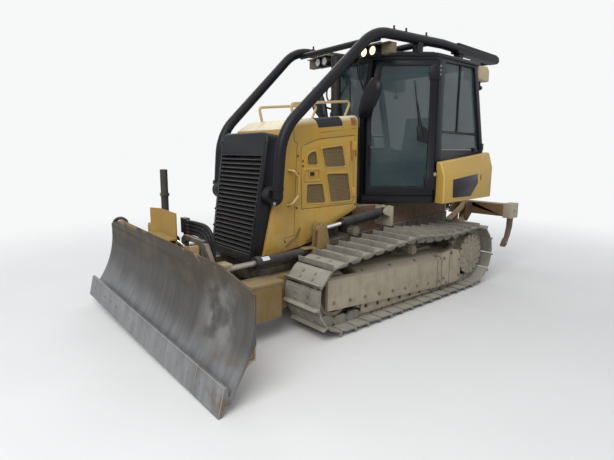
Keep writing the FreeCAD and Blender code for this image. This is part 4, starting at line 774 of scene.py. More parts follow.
# %% Both tracks
for side, word in SIDES:
    rows = []
    for a, b in zip(pins, pins[1:] + pins[:1]):
        along = Vector((0, b[0] - a[0], b[1] - a[1])).normalized()
        middle = (side * TRACK_X, (a[0] + b[0]) / 2, (a[1] + b[1]) / 2)
        rows.append((middle, along, (0, along.z, -along.y)))
    piece = repeated("track_shoes_" + word, shoe_mesh(), rows, "track_steel", "machine")
    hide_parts("track_" + word)
    print("track", word, len(piece.data.polygons), "faces")
    form = bmesh.new()
    slab(form, [(PITCH * 0.392, 0.0925), (PITCH * 0.423, 0.0925), (PITCH * 0.420, 0.0949),
                (PITCH * 0.395, 0.0949)], -SHOE_HALF + 0.001, SHOE_HALF - 0.001)
    repeated("grouser_edges_" + word, finished_mesh(form, "edge", "track_bright"), rows,
             "track_bright", "machine")

# %% [markdown]
# ## Two finishes on one solid
# The mast's post is bare rusty steel while its plate is painted, and behind the mesh of the doors'
# windows the steel is painted dark brown as painted shade, for the shaded room behind them. A zone is
# a test on each face's middle and normal, so the solid stays whole and only the paint changes.

# %% Zones of finish
HOOD_HALF, TAPER_FROM_Y = 0.420, -0.395
TAPER = 0.036 / 1.025      # loss of half width for each metre forwards


def hood_half(y):
    """Half the hood's width at y: parallel at the rear, narrower towards the nose."""
    return HOOD_HALF - TAPER * max(0.0, TAPER_FROM_Y - y)


def zone(node, skin, test):
    """Give the faces of a dressed node that pass test(middle, normal) another finish."""
    mesh = dressed_pieces[node].data
    mesh.materials.append(skins[skin])
    hits = [face for face in mesh.polygons if test(face.center, face.normal)]
    for face in hits:
        face.material_index = len(mesh.materials) - 1
    print(node, "wears", skin, "on", len(hits), "faces")


# the plates behind the doors' window mesh are painted dark brown: painted shade
for side, word in SIDES:
    zone("engine_door_" + word, "mesh_shadow", lambda at, out: abs(at.x) < hood_half(at.y) - 0.008
         and out.x * at.x > 0.3 * abs(at.x))
# columns: node, finish, test on a face's middle and its normal
ZONES = [
    ("sensor_mast", "mast_rust", lambda at, out: at.y > -2.062),
    ("main_frame", "hull_brown",
     lambda at, out: abs(at.x) > 0.25 and 0.63 < at.z < 1.0 and -0.25 < at.y < 1.45),
    ("push_frame", "worn_tan", lambda at, out: abs(at.x) < 0.27 and at.y < -1.75),
    ("front_lamps", "olive_tan", lambda at, out: out.z > 0.9 and at.z > 2.56),
    ("hood_rails", "hood_yellow", lambda at, out: at.z < 1.5),
    ("blade_carrier", "hull_black", lambda at, out: at.x > 0.03 and at.z > 0.70 and at.y > -1.99),
    ("ripper_beam", "rust_iron", lambda at, out: at.z < 0.688),
    ("ripper_beam", "worn_tan", lambda at, out: abs(at.x) > 0.742 and at.z > 0.684),
    ("mouldboard", "mast_rust", lambda at, out: at.x < -1.20 and at.z > 0.84),
    ("main_frame", "worn_tan", lambda at, out: abs(at.x) > 0.43 and at.z > 0.77 and at.y < 0.17),
]
for node, skin, test in ZONES:
    zone(node, skin, test)

# %% [markdown]
# ## Bolts
# Plates on a dozer are held by hexagon bolts with washers. Every bolt is a copy of one small model
# that the same tree sets on points. A list holds the place of each and the way that it faces.

# %% Bolts
def bolt_mesh(size):
    form = bmesh.new()
    drum(form, (0, 0, 0), (0, 0, 1), size * 1.3, size * 0.22, 12)
    drum(form, (0, 0, size * 0.22), (0, 0, 1), size, size * 0.72, 6, size * 0.88)
    return finished_mesh(form, "bolt", "bolt_steel")


def bolted(name, size, rows, skin, body):
    """Bolts of one head radius at rows of (place, out)."""
    stands = []
    for place, out in rows:
        out = Vector(out).normalized()
        stands.append((place, out.orthogonal().normalized(), out))
    print(name, len(rows), "bolts")
    return repeated(name, bolt_mesh(size), stands, skin, body)


def ring_of(x, y, z, radius, count, start=0.0):
    """Places on a circle round (y, z) at x, facing away from the middle of the machine."""
    out = (math.copysign(1.0, x), 0, 0)
    turns = [start + 2 * math.pi * k / count for k in range(count)]
    return [((x, y + radius * math.cos(a), z + radius * math.sin(a)), out) for a in turns]


def both(rows):
    """The rows and their mirror image."""
    return rows + [((-p[0], p[1], p[2]), (-o[0], o[1], o[2])) for p, o in rows]


GUARD_FOOT_Y, GUARD_FOOT_Z = -1.506, 0.610
LEAN, RISE = 0.1653, 0.9862      # sine and cosine of the guard's lean


def on_guard(across, up, out):
    """A point of the leaning guard: across it, up along it and out of its face, with its way out."""
    place = across, GUARD_FOOT_Y + LEAN * up - RISE * out, GUARD_FOOT_Z + RISE * up + LEAN * out
    return place, (0, -RISE, -LEAN)


# %% Bolts of the hull, the nose and the tracks
wheel_bolts = both(ring_of(0.8785, *SPROCKET, 0.165, 12) + ring_of(0.8925, *SPROCKET, 0.062, 6)
                   + ring_of(0.8625, *IDLER, 0.047, 4, 0.785))
bolted("wheel_bolts", 0.012, wheel_bolts, "hub_tan", "machine")
guard_rows = []
for k in range(9):
    y = -1.04 + 0.195 * k
    share = (y + 1.11) / 1.67
    guard_rows.append(((0.900, y, 0.300 - 0.120 * share), (1, 0, 0)))
    if k % 2 == 0:
        guard_rows.append(((0.853, y, 0.524 - 0.083 * share), (0.44, 0.04, 0.9)))
for y, z in ((0.60, 0.20), (0.60, 0.42), (0.74, 0.46), (0.90, 0.36), (0.90, 0.18), (0.66, 0.14)):
    guard_rows.append(((0.900, y, z), (1, 0, 0)))
bolted("track_guard_bolts", 0.013, both(guard_rows), "bolt_tan", "machine")
hood_rows = [((hood_half(y) + 0.0005, y, z), (1, 0, 0)) for y, z in (
    (-1.015, 1.511), (-0.959, 1.467), (-0.959, 1.423), (-1.012, 1.357), (-1.031, 1.051),
    (-1.116, 1.094), (-1.165, 0.76), (-0.30, 1.03), (-0.78, 0.80))]
bolted("hood_bolts", 0.008, both(hood_rows), "bolt_dark", "machine")
grille_rows = [on_guard(0.333 + 0.026 * up, up, 0.0005) for up in (0.09 + 0.158 * k for k in range(7))]
bolted("grille_bolts", 0.008, both(grille_rows), "worn_black", "machine")
foot_rows = [((0.4685, y, z), (1, 0, 0))
             for y, z in ((-1.330, 1.242), (-1.330, 1.119), (-1.262, 1.180))]
bolted("sweep_foot_bolts", 0.0115, both(foot_rows), "bolt_pale", "machine")


def on_surface(node, start, way):
    """Where a line from start meets a dressed node, with the surface's normal."""
    hit, place, normal, face = dressed_pieces[node].ray_cast(Vector(start), Vector(way))
    assert hit, node
    return place, normal


bpy.context.view_layer.update()
plow_rows = []
for x in (-1.2 + 0.16 * k for k in range(16)):
    place, out = on_surface("cutting_edge", (x, -3.0, 0.150 - 0.0366 * x), (0, 1, 0))
    plow_rows.append((place - out * 0.0105, out))
bolted("plow_bolts", 0.014, plow_rows, "blade_scoured", "blade")

# %% [markdown]
# ## Mesh screens
# Behind each window of the engine doors lies woven wire. Its wires are edges of a mesh, cut to the
# window's outline, and a tree turns every edge into a thin tube with a named radius.

# %% A tree that turns edges into wire
def wire_tree():
    tree, sheet, given = geometry_tree("edges_to_wire", [("Radius", "NodeSocketFloat", 0.0015),
                                                         ("Sides", "NodeSocketInt", 4),
                                                         ("Material", "NodeSocketMaterial", None)])
    line = sheet.node("GeometryNodeMeshToCurve", None, {"Mesh": given["Geometry"]})
    ring = sheet.node("GeometryNodeCurvePrimitiveCircle", None,
                      {"Resolution": given["Sides"], "Radius": given["Radius"]})
    tube = sheet.node("GeometryNodeCurveToMesh", None,
                      {"Curve": line, "Profile Curve": ring, "Fill Caps": True})
    close_tree(sheet, tube, given["Material"])
    return tree


edges_to_wire = wire_tree()


def wires(name, pairs, radius, skin, body):
    """Straight wires between pairs of points, as one piece."""
    mesh = bpy.data.meshes.new("lines")
    points = [point for pair in pairs for point in pair]
    mesh.from_pydata(points, [(2 * k, 2 * k + 1) for k in range(len(pairs))], [])
    baked = grown(edges_to_wire, mesh, radius=radius, sides=4, material=skins[skin])
    soften(baked, 50)
    print(name, len(pairs), "wires")
    return put(name, baked, body)


# %% The windows' wires
# each window's corners as (y, z)
WINDOWS = [
    [(-0.912, 1.426), (-0.912, 1.516), (-0.862, 1.552), (-0.802, 1.560), (-0.778, 1.424)],
    [(-0.698, 1.402), (-0.747, 1.580), (-0.476, 1.610), (-0.428, 1.402)],
    [(-0.926, 1.082), (-0.920, 1.263), (-0.722, 1.260), (-0.684, 1.066)],
    [(-0.628, 1.068), (-0.683, 1.350), (-0.398, 1.347), (-0.346, 1.068)],
]


def crossings(corners, axis, pitch):
    """Lines at every pitch along an axis, cut to the outline, as pairs of (y, z)."""
    low, high = min(c[axis] for c in corners), max(c[axis] for c in corners)
    found = []
    for k in range(math.ceil(low / pitch), math.ceil(high / pitch)):
        ends = []
        for a, b in zip(corners, corners[1:] + corners[:1]):
            if (a[axis] - k * pitch) * (b[axis] - k * pitch) < 0:
                share = (a[axis] - k * pitch) / (a[axis] - b[axis])
                ends.append((a[0] + (b[0] - a[0]) * share, a[1] + (b[1] - a[1]) * share))
        if len(ends) == 2:
            found.append(ends)
    return found


for side, word in SIDES:
    pairs = []
    for corners in WINDOWS:
        for axis, proud in ((0, 0.0100), (1, 0.0078)):
            for ends in crossings(corners, axis, 0.013):
                pairs.append([(side * (hood_half(y) - proud), y, z) for y, z in ends])
    wires("door_mesh_" + word, pairs, 0.0016, "mesh_bronze", "engine_door_" + word)

# %% [markdown]
# ## Turned and bent fittings
# Lamps, caps and knobs are turned: a profile of distances and radii goes round an axis. Pipes are
# smooth lines with a round section. Both need only a few numbers for each piece.


def lathe(form, centre, axis, profile, sides=20, closed=False):
    """Turn a profile of (along, radius) round an axis. A radius of 0 closes an end."""
    skin_over(form, [circle(centre, axis, along, radius, sides) for along, radius in profile],
              ends=False, closed=closed)


def shaped(name, form, skin, body="machine", rounded=0.0):
    """Finish a form as a piece, with its edges rounded where a width is given."""
    mesh = finished_mesh(form, name, skin)
    if rounded:
        holder = holder_for(mesh)
        bevel = holder.modifiers.new("bevel", "BEVEL")
        bevel.width, bevel.segments, bevel.limit_method = rounded, 2, "ANGLE"
        mesh = plain(holder)
    soften(mesh)
    put(name, mesh, body)


def line_curve(name, runs, radius, skin):
    """A curve with one smooth spline for each list of points, and a round section."""
    curve = bpy.data.curves.new(name, "CURVE")
    curve.dimensions, curve.bevel_depth, curve.bevel_resolution = "3D", radius, 3
    curve.resolution_u, curve.use_fill_caps = 10, True
    for points in runs:
        spline = curve.splines.new("NURBS")
        spline.points.add(len(points) - 1)
        for point, place in zip(spline.points, points):
            point.co = (*place, 1)
        spline.order_u, spline.use_endpoint_u = 3, True
    curve.materials.append(skins[skin])
    return curve


def piped(name, runs, radius, skin, body="machine"):
    """Rigid pipes or rods along smooth lines, as one plain mesh."""
    mesh = plain(holder_for(line_curve(name, runs, radius, skin)))
    soften(mesh, 50)
    put(name, mesh, body)


def boxed(form, low, high):
    """An upright box between two corners."""
    (x0, y0, z0), (x1, y1, z1) = low, high
    slab(form, [(y0, z0), (y1, z0), (y1, z1), (y0, z1)], x0, x1)


# %% [markdown]
# ## Hoses
# A hydraulic hose is stiff: it leaves its fitting straight, arches, and goes into the next one. Each
# is one smooth spline of control points with a round section of its thickness, and its length is printed.

# %% Hoses and cables
BLOCK_Y, DROP_Y = -1.946, -1.930      # where the blade's hoses leave their block, and where they end


def blade_hose_top(k):
    """Height of the k-th blade hose over its arch, and how far across it comes down."""
    return 0.992 - 0.030 * k, 0.506 - 0.031 * k


# columns: name, body, diameter, control points from one fitting to the other
HOSES = []
for k in range(4):
    high, x = blade_hose_top(k)
    bend = [(x - 0.125 + 0.1275 * math.cos(a), BLOCK_Y + 0.004 * n, high - 0.125 + 0.1275 * math.sin(a))
            for n, a in enumerate(math.radians(angle) for angle in (90, 67.5, 45, 22.5, 0))]
    HOSES.append((f"blade_hose_{k + 1}", "blade_carrier", 0.030, [
        (0.118, BLOCK_Y, high - 0.004), (0.190, BLOCK_Y, high + 0.002), *bend,
        (x, DROP_Y, 0.725), (x, DROP_Y, 0.712)]))
for side, word in SIDES:
    HOSES.append(("lift_hose_" + word, "machine", 0.026, [
        (side * 0.355, -0.196, 0.888), (side * 0.359, -0.150, 0.878), (side * 0.372, -0.060, 0.856),
        (side * 0.378, 0.020, 0.850), (side * 0.379, 0.085, 0.857), (side * 0.378, 0.121, 0.862)]))
    for k in (0, 1):
        HOSES.append((f"lamp_cable_{word}_{k + 1}", "machine", 0.010, [
            (side * (0.262 - 0.030 * k), 0.005, 2.508), (side * (0.235 - 0.035 * k), -0.022, 2.490),
            (side * (0.200 - 0.035 * k), -0.026, 2.440), (side * (0.178 - 0.025 * k), -0.016, 2.370),
            (side * (0.186 - 0.020 * k), -0.002, 2.290), (side * (0.205 - 0.010 * k), 0.012, 2.220),
            (side * 0.222, 0.030, 2.160 - 0.030 * k)]))
for name, body, diameter, points in HOSES:
    piece = put(name, line_curve(name, [points], diameter / 2, "rubber"), body)
    line = plain(holder_for(line_curve("line", [points], 0.0, "rubber")))
    ends = [[line.vertices[k].co for k in edge.vertices] for edge in line.edges]
    real = sum((a - b).length for a, b in ends)
    print(name, "is", round(real, 3), "m long")

# %% Hose fittings and the block that they leave from
form = bmesh.new()
boxed(form, (0.062, -1.964, 0.872), (0.100, -1.940, 0.940))
boxed(form, (0.022, -1.966, 0.890), (0.104, -1.920, 1.015))
for high, x in (blade_hose_top(k) for k in range(4)):
    lathe(form, (0.100, BLOCK_Y, high - 0.004), (1, 0, 0.05), [
        (0, 0), (0, 0.0145), (0.008, 0.0145), (0.009, 0.0175), (0.024, 0.0175), (0.028, 0.0158),
        (0.050, 0.0158), (0.050, 0)], 12)
    lathe(form, (x, DROP_Y, 0.698), (0, 0, 1), [
        (0, 0), (0, 0.020), (0.010, 0.020), (0.011, 0.0175), (0.034, 0.0162), (0.034, 0)], 12)
shaped("blade_hose_block", form, "cylinder_black", "blade_carrier", 0.003)
form = bmesh.new()
for side in (-1, 1):
    lathe(form, (side * 0.329, -0.212, 0.892), (side, 0, 0), [
        (0, 0), (0, 0.020), (0.014, 0.020), (0.015, 0.015), (0.040, 0.015), (0.046, 0)], 12)
    lathe(form, (side * 0.355, -0.212, 0.892), (0, 1, -0.2), [
        (0, 0), (0, 0.016), (0.036, 0.0145), (0.036, 0)], 12)
shaped("lift_hose_elbows", form, "cylinder_black", rounded=0.002)

# %% [markdown]
# ### Pipes on the cylinders
# Oil reaches the rod end of a cylinder by a steel pipe brazed along its barrel. Each is a smooth
# line beside the barrel, bent in at both ends, and turns with it. The lift barrels wear a jacket.

# %% Pipes on the cylinders
JACKET, UNDER_JACKET = 0.0465, 0.0425
UP, DOWNWARDS = (0, 0, 1), (0, 0, -1)
# columns: body, base pin, rod eye, way that the pipe stands off, barrel's radius, length to the gland
BARRELS = [("tilt_barrel", (-0.430, -2.012, 0.890), (0.280, -2.012, 0.775), UP, 0.040, 0.430),
           ("ripper_barrel", (0, 1.640, 0.950), (0, 2.110, 0.760), UP, 0.042, 0.424)]
for side, word in SIDES:
    BARRELS += [("lift_barrel_" + word, (side * 0.482, 0.060, 0.935), (side * 0.482, -0.820, 0.845),
                 DOWNWARDS, JACKET, 0.605),
                ("angle_barrel_" + word, (side * 0.452, -0.985, 0.645), (side * 0.505, -1.862, 0.645),
                 DOWNWARDS, 0.046, 0.566)]
for body, base, eye, off, radius, gland in BARRELS:
    base, run, off = Vector(base), (Vector(eye) - Vector(base)).normalized(), Vector(off)
    off = (off - run * off.dot(run)).normalized()
    path = [(0.085, -0.002), (0.085, 0.013), (0.110, 0.014), (gland - 0.075, 0.014), (gland - 0.050, 0.013),
            (gland - 0.050, -0.002)]
    piped(body + "_pipe", [[base + run * along + off * (radius + out) for along, out in path]], 0.007,
          "cylinder_black", body)
    form = bmesh.new()
    if radius == JACKET:
        lathe(form, base, run, [(0.075, UNDER_JACKET), (0.077, JACKET), (gland, JACKET),
                                (gland + 0.002, UNDER_JACKET)], 32)
    band = [(0, radius - 0.001), (0, radius + 0.0025), (0.012, radius + 0.0025), (0.012, radius - 0.001)]
    for share in (0.45, 0.75):
        lathe(form, base + run * gland * share, run, band, 28)
    shaped(body + "_bands", form, "cylinder_black", body)

# %% [markdown]
# ## Lamps, mirrors and wipers
# Two lamps burn over the left front corner. A lamp is a can with a rolled bezel and a slightly domed
# lens whose emission is a little above white, so that it reads as lit without lighting the cab.

# %% Lamps
def lamp(word, place, way, radius, lens):
    """Bezel and lens on the end of a lamp can."""
    form = bmesh.new()
    lathe(form, place, way, [(0.0, radius), (0.006, radius + 0.004), (0.014, radius + 0.003),
                             (0.016, radius - 0.003), (0.008, radius - 0.006), (0.0, radius - 0.006)],
          28, closed=True)
    shaped(word + "_bezel", form, "worn_black")
    form = bmesh.new()
    lathe(form, place, way, [(-0.002, 0), (-0.002, radius - 0.005), (0.006, radius - 0.005),
                             (0.010, radius * 0.72), (0.0125, radius * 0.38), (0.0135, 0)], 28)
    shaped(word + "_lens", form, lens)


# the left front lamps are lit; every other lens keeps a faint painted glow as sheen
for side, word in SIDES:
    for k, x in enumerate((0.290, 0.402)):
        lamp(f"front_lamp_{word}_{k + 1}", (side * x, -0.0625, 2.520), (0, -1, 0), 0.046,
             "lamp_lit" if side > 0 else "unlit_lens_painted_glow")
    lamp("rear_lamp_" + word, (side * 0.605, 1.6905, 2.415), (0, 1, 0), 0.040, "unlit_lens_painted_glow")
    form = bmesh.new()
    lathe(form, (side * 0.620, 1.600, 2.262), UP, [
        (0, 0), (0.003, 0.018), (0.012, 0.031), (0.028, 0.038), (0.044, 0.031), (0.053, 0.018),
        (0.056, 0.011), (0.100, 0.011), (0.100, 0)])
    shaped("corner_lamp_" + word, form, "cylinder_black")
    form = bmesh.new()
    boxed(form, (side * 0.4715, -0.020, 2.482), (side * 0.600, 0.052, 2.572))
    boxed(form, (side * 0.4715, -0.060, 2.572), (side * 0.600, 0.058, 2.579))
    shaped("lamp_housing_" + word, form, "olive_tan", rounded=0.004)
    form = bmesh.new()
    slab(form, [(-0.088, 2.572), (-0.086, 2.580), (-0.030, 2.600), (0.030, 2.596), (0.030, 2.5745),
                (-0.030, 2.5745)], side * 0.245, side * 0.465)
    shaped("lamp_visor_" + word, form, "olive_tan", rounded=0.003)


# %% Mirrors and wipers on the cab doors
DOOR_HINGE_X, DOOR_HINGE_Y = 0.748, 0.560
DOOR_INWARDS, DOOR_FORWARDS = 0.6713, 0.7412      # the way from the hinges along the door


def on_door(side, s, z, out):
    """A point of a cab door: s from its hinges, z up, out from its outer face."""
    return (side * (DOOR_HINGE_X - DOOR_INWARDS * s + DOOR_FORWARDS * out),
            DOOR_HINGE_Y - DOOR_FORWARDS * s - DOOR_INWARDS * out, z)


def door_slab(form, side, outline, inner, outer):
    """Extrude an (s, z) outline that lies on a cab door."""
    skin_over(form, [[on_door(side, s, z, out) for s, z in outline] for out in (inner, outer)])


MIRROR = [(0.410, 2.268), (0.470, 2.262), (0.525, 2.195), (0.518, 2.115), (0.455, 2.000), (0.330, 1.888),
          (0.262, 1.872), (0.232, 1.920), (0.262, 2.050), (0.330, 2.190)]
MIRROR_X, MIRROR_Z = 0.375, 2.075


def mirror_shell(name, side, steps, skin, body, rounded=0.0):
    """The mirror's outline drawn in to a share of its size at each y."""
    form = bmesh.new()
    skin_over(form, [[(side * (MIRROR_X + (x - MIRROR_X) * share), y, MIRROR_Z + (z - MIRROR_Z) * share)
                      for x, z in MIRROR] for y, share in steps])
    shaped(name, form, skin, body, rounded)


for side, word in SIDES:
    body = "cab_door_" + word
    mirror_shell("mirror_" + word, side, ((-0.052, 0.90), (-0.058, 1.0), (-0.078, 1.0), (-0.104, 0.80),
                                          (-0.112, 0.45)), "cab_black", body, 0.004)
    mirror_shell("mirror_pane_" + word, side, ((-0.0515, 0.86), (-0.0485, 0.86)), "mirror_glass", body)
    piped("mirror_arm_" + word, [[
        on_door(side, 0.655, 2.02, -0.006), on_door(side, 0.660, 2.03, 0.040),
        (side * 0.335, -0.040, 2.05), (side * 0.345, -0.070, 2.06)]], 0.011, "cab_black", body)
    form = bmesh.new()
    door_slab(form, side, [(0.236, 2.262), (0.246, 2.264), (0.184, 1.806), (0.174, 1.804)], -0.011, -0.003)
    door_slab(form, side, [(0.238, 2.250), (0.244, 2.250), (0.182, 1.815), (0.176, 1.815)], -0.003, 0.008)
    door_slab(form, side, [(0.198, 1.812), (0.120, 1.800), (0.084, 1.765), (0.082, 1.636), (0.186, 1.660)],
              -0.011, 0.012)
    shaped("wiper_" + word, form, "rubber", body, 0.002)
    arm = [(0.130, 1.715, 0.012), (0.135, 1.735, 0.024), (0.170, 1.860, 0.022), (0.208, 2.040, 0.012),
           (0.210, 2.052, 0.006)]
    piped("wiper_arm_" + word, [[on_door(side, *point) for point in arm]], 0.0055, "cab_black", body)

ring = [(-0.288 + 0.049 * math.cos(a), 0.010, 2.185 + 0.080 * math.sin(a))
        for a in (math.radians(24 * k) for k in range(16))]
piped("cab_side_loop", [ring], 0.009, "cab_black")
piped("screen_wiper", [
    [(-0.150, 0.034, 1.640), (-0.150, 0.012, 1.655), (-0.060, 0.008, 1.860), (0.020, 0.016, 2.040)],
    [(0.020, 0.022, 1.790), (0.020, 0.024, 2.040), (0.020, 0.022, 2.290)]], 0.006, "rubber")

# %% Bolts, hinge boxes and the latch strip of the cab
hinge_rows = [((0.7285, 0.612, z), (1, 0, 0)) for z in (1.151, 1.194, 1.236, 2.329, 2.370, 2.412)]
bolted("cab_hinge_bolts", 0.0085, both(hinge_rows), "bolt_pale", "machine")
# columns: nearest the middle, furthest from it, front, rear, bottom, top
HINGE_BOXES = ((0.690, 0.728, 0.585, 0.665, 1.115, 1.300), (0.690, 0.728, 0.585, 0.665, 2.285, 2.440),
               (0.742, 0.757, 0.574, 0.598, 1.078, 1.353), (0.700, 0.738, 1.360, 1.425, 1.545, 1.590),
               (0.700, 0.732, 1.540, 1.590, 1.560, 1.640))
form, knobs = bmesh.new(), bmesh.new()
for side in (-1, 1):
    for x0, x1, y0, y1, z0, z1 in HINGE_BOXES:
        boxed(form, (side * x0, y0, z0), (side * x1, y1, z1))
    lathe(knobs, (side * 0.750, 0.575, 1.309), (0, -1, 0), [
        (0, 0), (0, 0.020), (0.008, 0.020), (0.011, 0.010), (0.011, 0)], 14)
shaped("cab_hinge_boxes", form, "cab_black", rounded=0.004)
shaped("box_latch_knobs", knobs, "worn_tan")

# %% [markdown]
# ## The seat
# A seat pad is foam under tight cloth. A copy of the plain block is drawn in a little, remeshed to
# an even skin, and blown up from inside by Cloth with gravity off. Each point's way out is capped,
# so the pad swells between its corners and keeps its room.

# %% Padded seat and back
VOXEL, EDGE_ROUND = 0.012, 0.030
PRESSURE, CLOTH_STEPS, SWELL_CAP = 4.0, 20, 0.016


def padded_block(corners_yz, half):
    form = bmesh.new()
    slab(form, corners_yz, -half, half)
    holder = holder_for(finished_mesh(form, "block", "seat_cloth"))
    bevel = holder.modifiers.new("bevel", "BEVEL")
    bevel.width, bevel.segments = EDGE_ROUND, 3
    remesh = holder.modifiers.new("remesh", "REMESH")
    remesh.mode, remesh.voxel_size = "VOXEL", VOXEL
    return plain(holder)


def swollen(mesh):
    """The mesh after Cloth has blown it up, with no point moved further than the cap."""
    start = [vertex.co.copy() for vertex in mesh.vertices]
    holder = holder_for(mesh)
    cloth = holder.modifiers.new("cloth", "CLOTH")
    cloth.settings.use_pressure, cloth.settings.uniform_pressure_force = True, PRESSURE
    cloth.settings.effector_weights.gravity = 0.0
    for step in range(1, CLOTH_STEPS + 1):
        bpy.context.scene.frame_set(step)
    mesh = plain(holder)
    bpy.context.scene.frame_set(1)
    for vertex, old in zip(mesh.vertices, start):
        move = vertex.co - old
        if move.length > SWELL_CAP:
            vertex.co = old + move * (SWELL_CAP / move.length)
    holder = holder_for(mesh)
    finer = holder.modifiers.new("finer", "SUBSURF")
    finer.levels = finer.render_levels = 1
    mesh = plain(holder)
    mesh.materials.clear()
    mesh.materials.append(skins["seat_cloth"])
    soften(mesh, 80)
    return mesh


PADS = [("seat_pad", [(0.738, 1.352), (1.172, 1.352), (1.172, 1.430), (0.738, 1.436)], 0.222),
        ("back_pad", [(1.170, 1.480), (1.272, 1.985), (1.322, 1.972), (1.236, 1.480)], 0.205)]
for name, corners, half in PADS:
    piece = put(name, swollen(padded_block(corners, half)), "machine")
    if name == "seat_pad":
        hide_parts("seat_cushions")
    print(name, len(piece.data.polygons), "faces")

# %% [markdown]
# ## Plain plates, slots and caps
# Where the real machine carries lettering, this one has a plain dark plate of the same outline. The
# plate on the hood bends over its rounded edge, so it is a small grid laid on that surface.

# %% Plates
ROUND_R = 0.070      # radius of the hood's upper edge


def hood_skin(side, y, z, proud):
    """The point of the hood's side at (y, z), and over the rounded edge above it."""
    top, half = 1.830 + 0.0928 * (y + 1.008), hood_half(y)
    if z <= top - ROUND_R:
        return side * (half + proud), y, z
    lean, reach = math.asin(min(z - top + ROUND_R, 0.0699) / ROUND_R), ROUND_R + proud
    return side * (half - ROUND_R + reach * math.cos(lean)), y, top - ROUND_R + reach * math.sin(lean)


def hood_plate(name, side, corners, skin, across, down, thick):
    """A thin plate on the hood's side between four (y, z) corners."""
    form, layers = bmesh.new(), []
    for proud in (0.0004, thick):
        grid = []
        for t in (j / down for j in range(down + 1)):
            places = [[a * (1 - s) * (1 - t) + b * s * (1 - t) + c * s * t + d * (1 - s) * t
                       for a, b, c, d in zip(*corners)] for s in (k / across for k in range(across + 1))]
            grid.append([form.verts.new(hood_skin(side, y, z, proud)) for y, z in places])
        layers.append(grid)
        for a, b in zip(grid, grid[1:]):
            for k in range(across):
                form.faces.new((a[k], a[k + 1], b[k + 1], b[k]))
    edge = [(0, k) for k in range(across)] + [(j, across) for j in range(down)]
    edge += [(down, k) for k in range(across, 0, -1)] + [(j, 0) for j in range(down, 0, -1)]
    for (j, k), (m, n) in zip(edge, edge[1:] + edge[:1]):
        form.faces.new((layers[0][j][k], layers[0][m][n], layers[1][m][n], layers[1][j][k]))
    shaped(name, form, skin)


def offset_outline(corners, by):
    """A convex outline with each of its sides moved out by a distance."""
    sides = list(zip(corners, corners[1:] + corners[:1]))
    area = sum(a[0] * b[1] - a[1] * b[0] for a, b in sides)
    by, lines = math.copysign(by, area * by), []
    for a, b in sides:
        way = Vector((b[0] - a[0], b[1] - a[1])).normalized()
        lines.append((Vector(a) + Vector((way.y, -way.x)) * by, way))
    found = []
    for (p, d), (q, e) in zip(lines[-1:] + lines[:-1], lines):
        share = ((q.x - p.x) * e.y - (q.y - p.y) * e.x) / (d.x * e.y - d.y * e.x)
        found.append(tuple(p + d * share))
    return found


def rounded_outline(corners, radius, steps=5):
    """The outline with each corner replaced by a smooth curve."""
    points = []
    for before, at, after in zip(corners[-1:] + corners[:-1], corners, corners[1:] + corners[:1]):
        at = Vector(at)
        start = at + (Vector(before) - at).normalized() * radius
        end = at + (Vector(after) - at).normalized() * radius
        points += [start * (1 - t) ** 2 + at * 2 * t * (1 - t) + end * t * t
                   for t in (k / steps for k in range(steps + 1))]
    return points


def hood_band(form, side, corners, inner, outer, low, high, radius=0.022):
    """A flat frame round an outline on the hood's side, between two heights over it."""
    skin_over(form, [[(side * (hood_half(y) + proud), y, z)
                      for y, z in rounded_outline(offset_outline(corners, by), radius)]
                     for by, proud in ((inner, low), (inner, high), (outer, high), (outer, low))],
              ends=False, closed=True)


LATCH_PLATE = [(-0.948, 1.281), (-0.760, 1.281), (-0.760, 1.396), (-0.948, 1.396)]
SEAMS = [[(-1.061, 1.736), (-1.050, 1.632), (-1.017, 1.624), (-1.028, 1.545), (-1.040, 1.300),
          (-1.063, 0.808)],
         [(-0.754, 1.718), (-0.312, 1.772)], [(-1.063, 0.808), (-1.180, 0.790)]]
HOOKS = [[(-1.164, 0.711), (-1.097, 0.767), (-1.052, 0.779), (-0.995, 0.865)],
         [(-0.925, 0.735), (-0.885, 0.758), (-0.842, 0.791)]]
HOOK_END, HOOK_OFF = 0.005, 0.018      # how far a hook's ends and its middle stand off the hood
# columns: name, the four corners as (y, z), finish, cells along and up, thickness
HOOD_PLATES = [
    ("rust_slot_", [(-0.384, 1.649), (-0.346, 1.649), (-0.337, 1.458), (-0.364, 1.458)], "orange_rust",
     2, 4, 0.0012),
    ("faded_stripes_", [(-0.372, 1.868), (-0.300, 1.874), (-0.296, 1.800), (-0.366, 1.794)], "orange_rust",
     3, 8, 0.0008),
    ("hood_plate_", [(-0.809, 1.846), (-0.500, 1.872), (-0.484, 1.790), (-0.779, 1.762)], "plate_dark",
     10, 6, 0.003),
]
for side, word in SIDES:
    form = bmesh.new()
    for corners in WINDOWS:
        hood_band(form, side, corners, -0.007, 0.006, -0.004, 0.0035)
    hood_band(form, side, LATCH_PLATE, -0.012, 0.0, 0.0005, 0.0095, 0.014)
    shaped("window_rims_" + word, form, "hood_yellow", "engine_door_" + word, 0.0012)
    pairs = [[hood_skin(side, y, z, 0.0003) for y, z in pair] for run in SEAMS for pair in zip(run, run[1:])]
    wires("hood_seams_" + word, pairs, 0.0022, "bolt_dark", "machine")
    piped("side_hooks_" + word, [
        [(side * (hood_half(y) + (HOOK_END if (y, z) in (run[0], run[-1]) else HOOK_OFF)), y, z)
         for y, z in run] for run in HOOKS], 0.006, "rust_iron")
    for name, *numbers in HOOD_PLATES:
        hood_plate(name + word, side, *numbers)

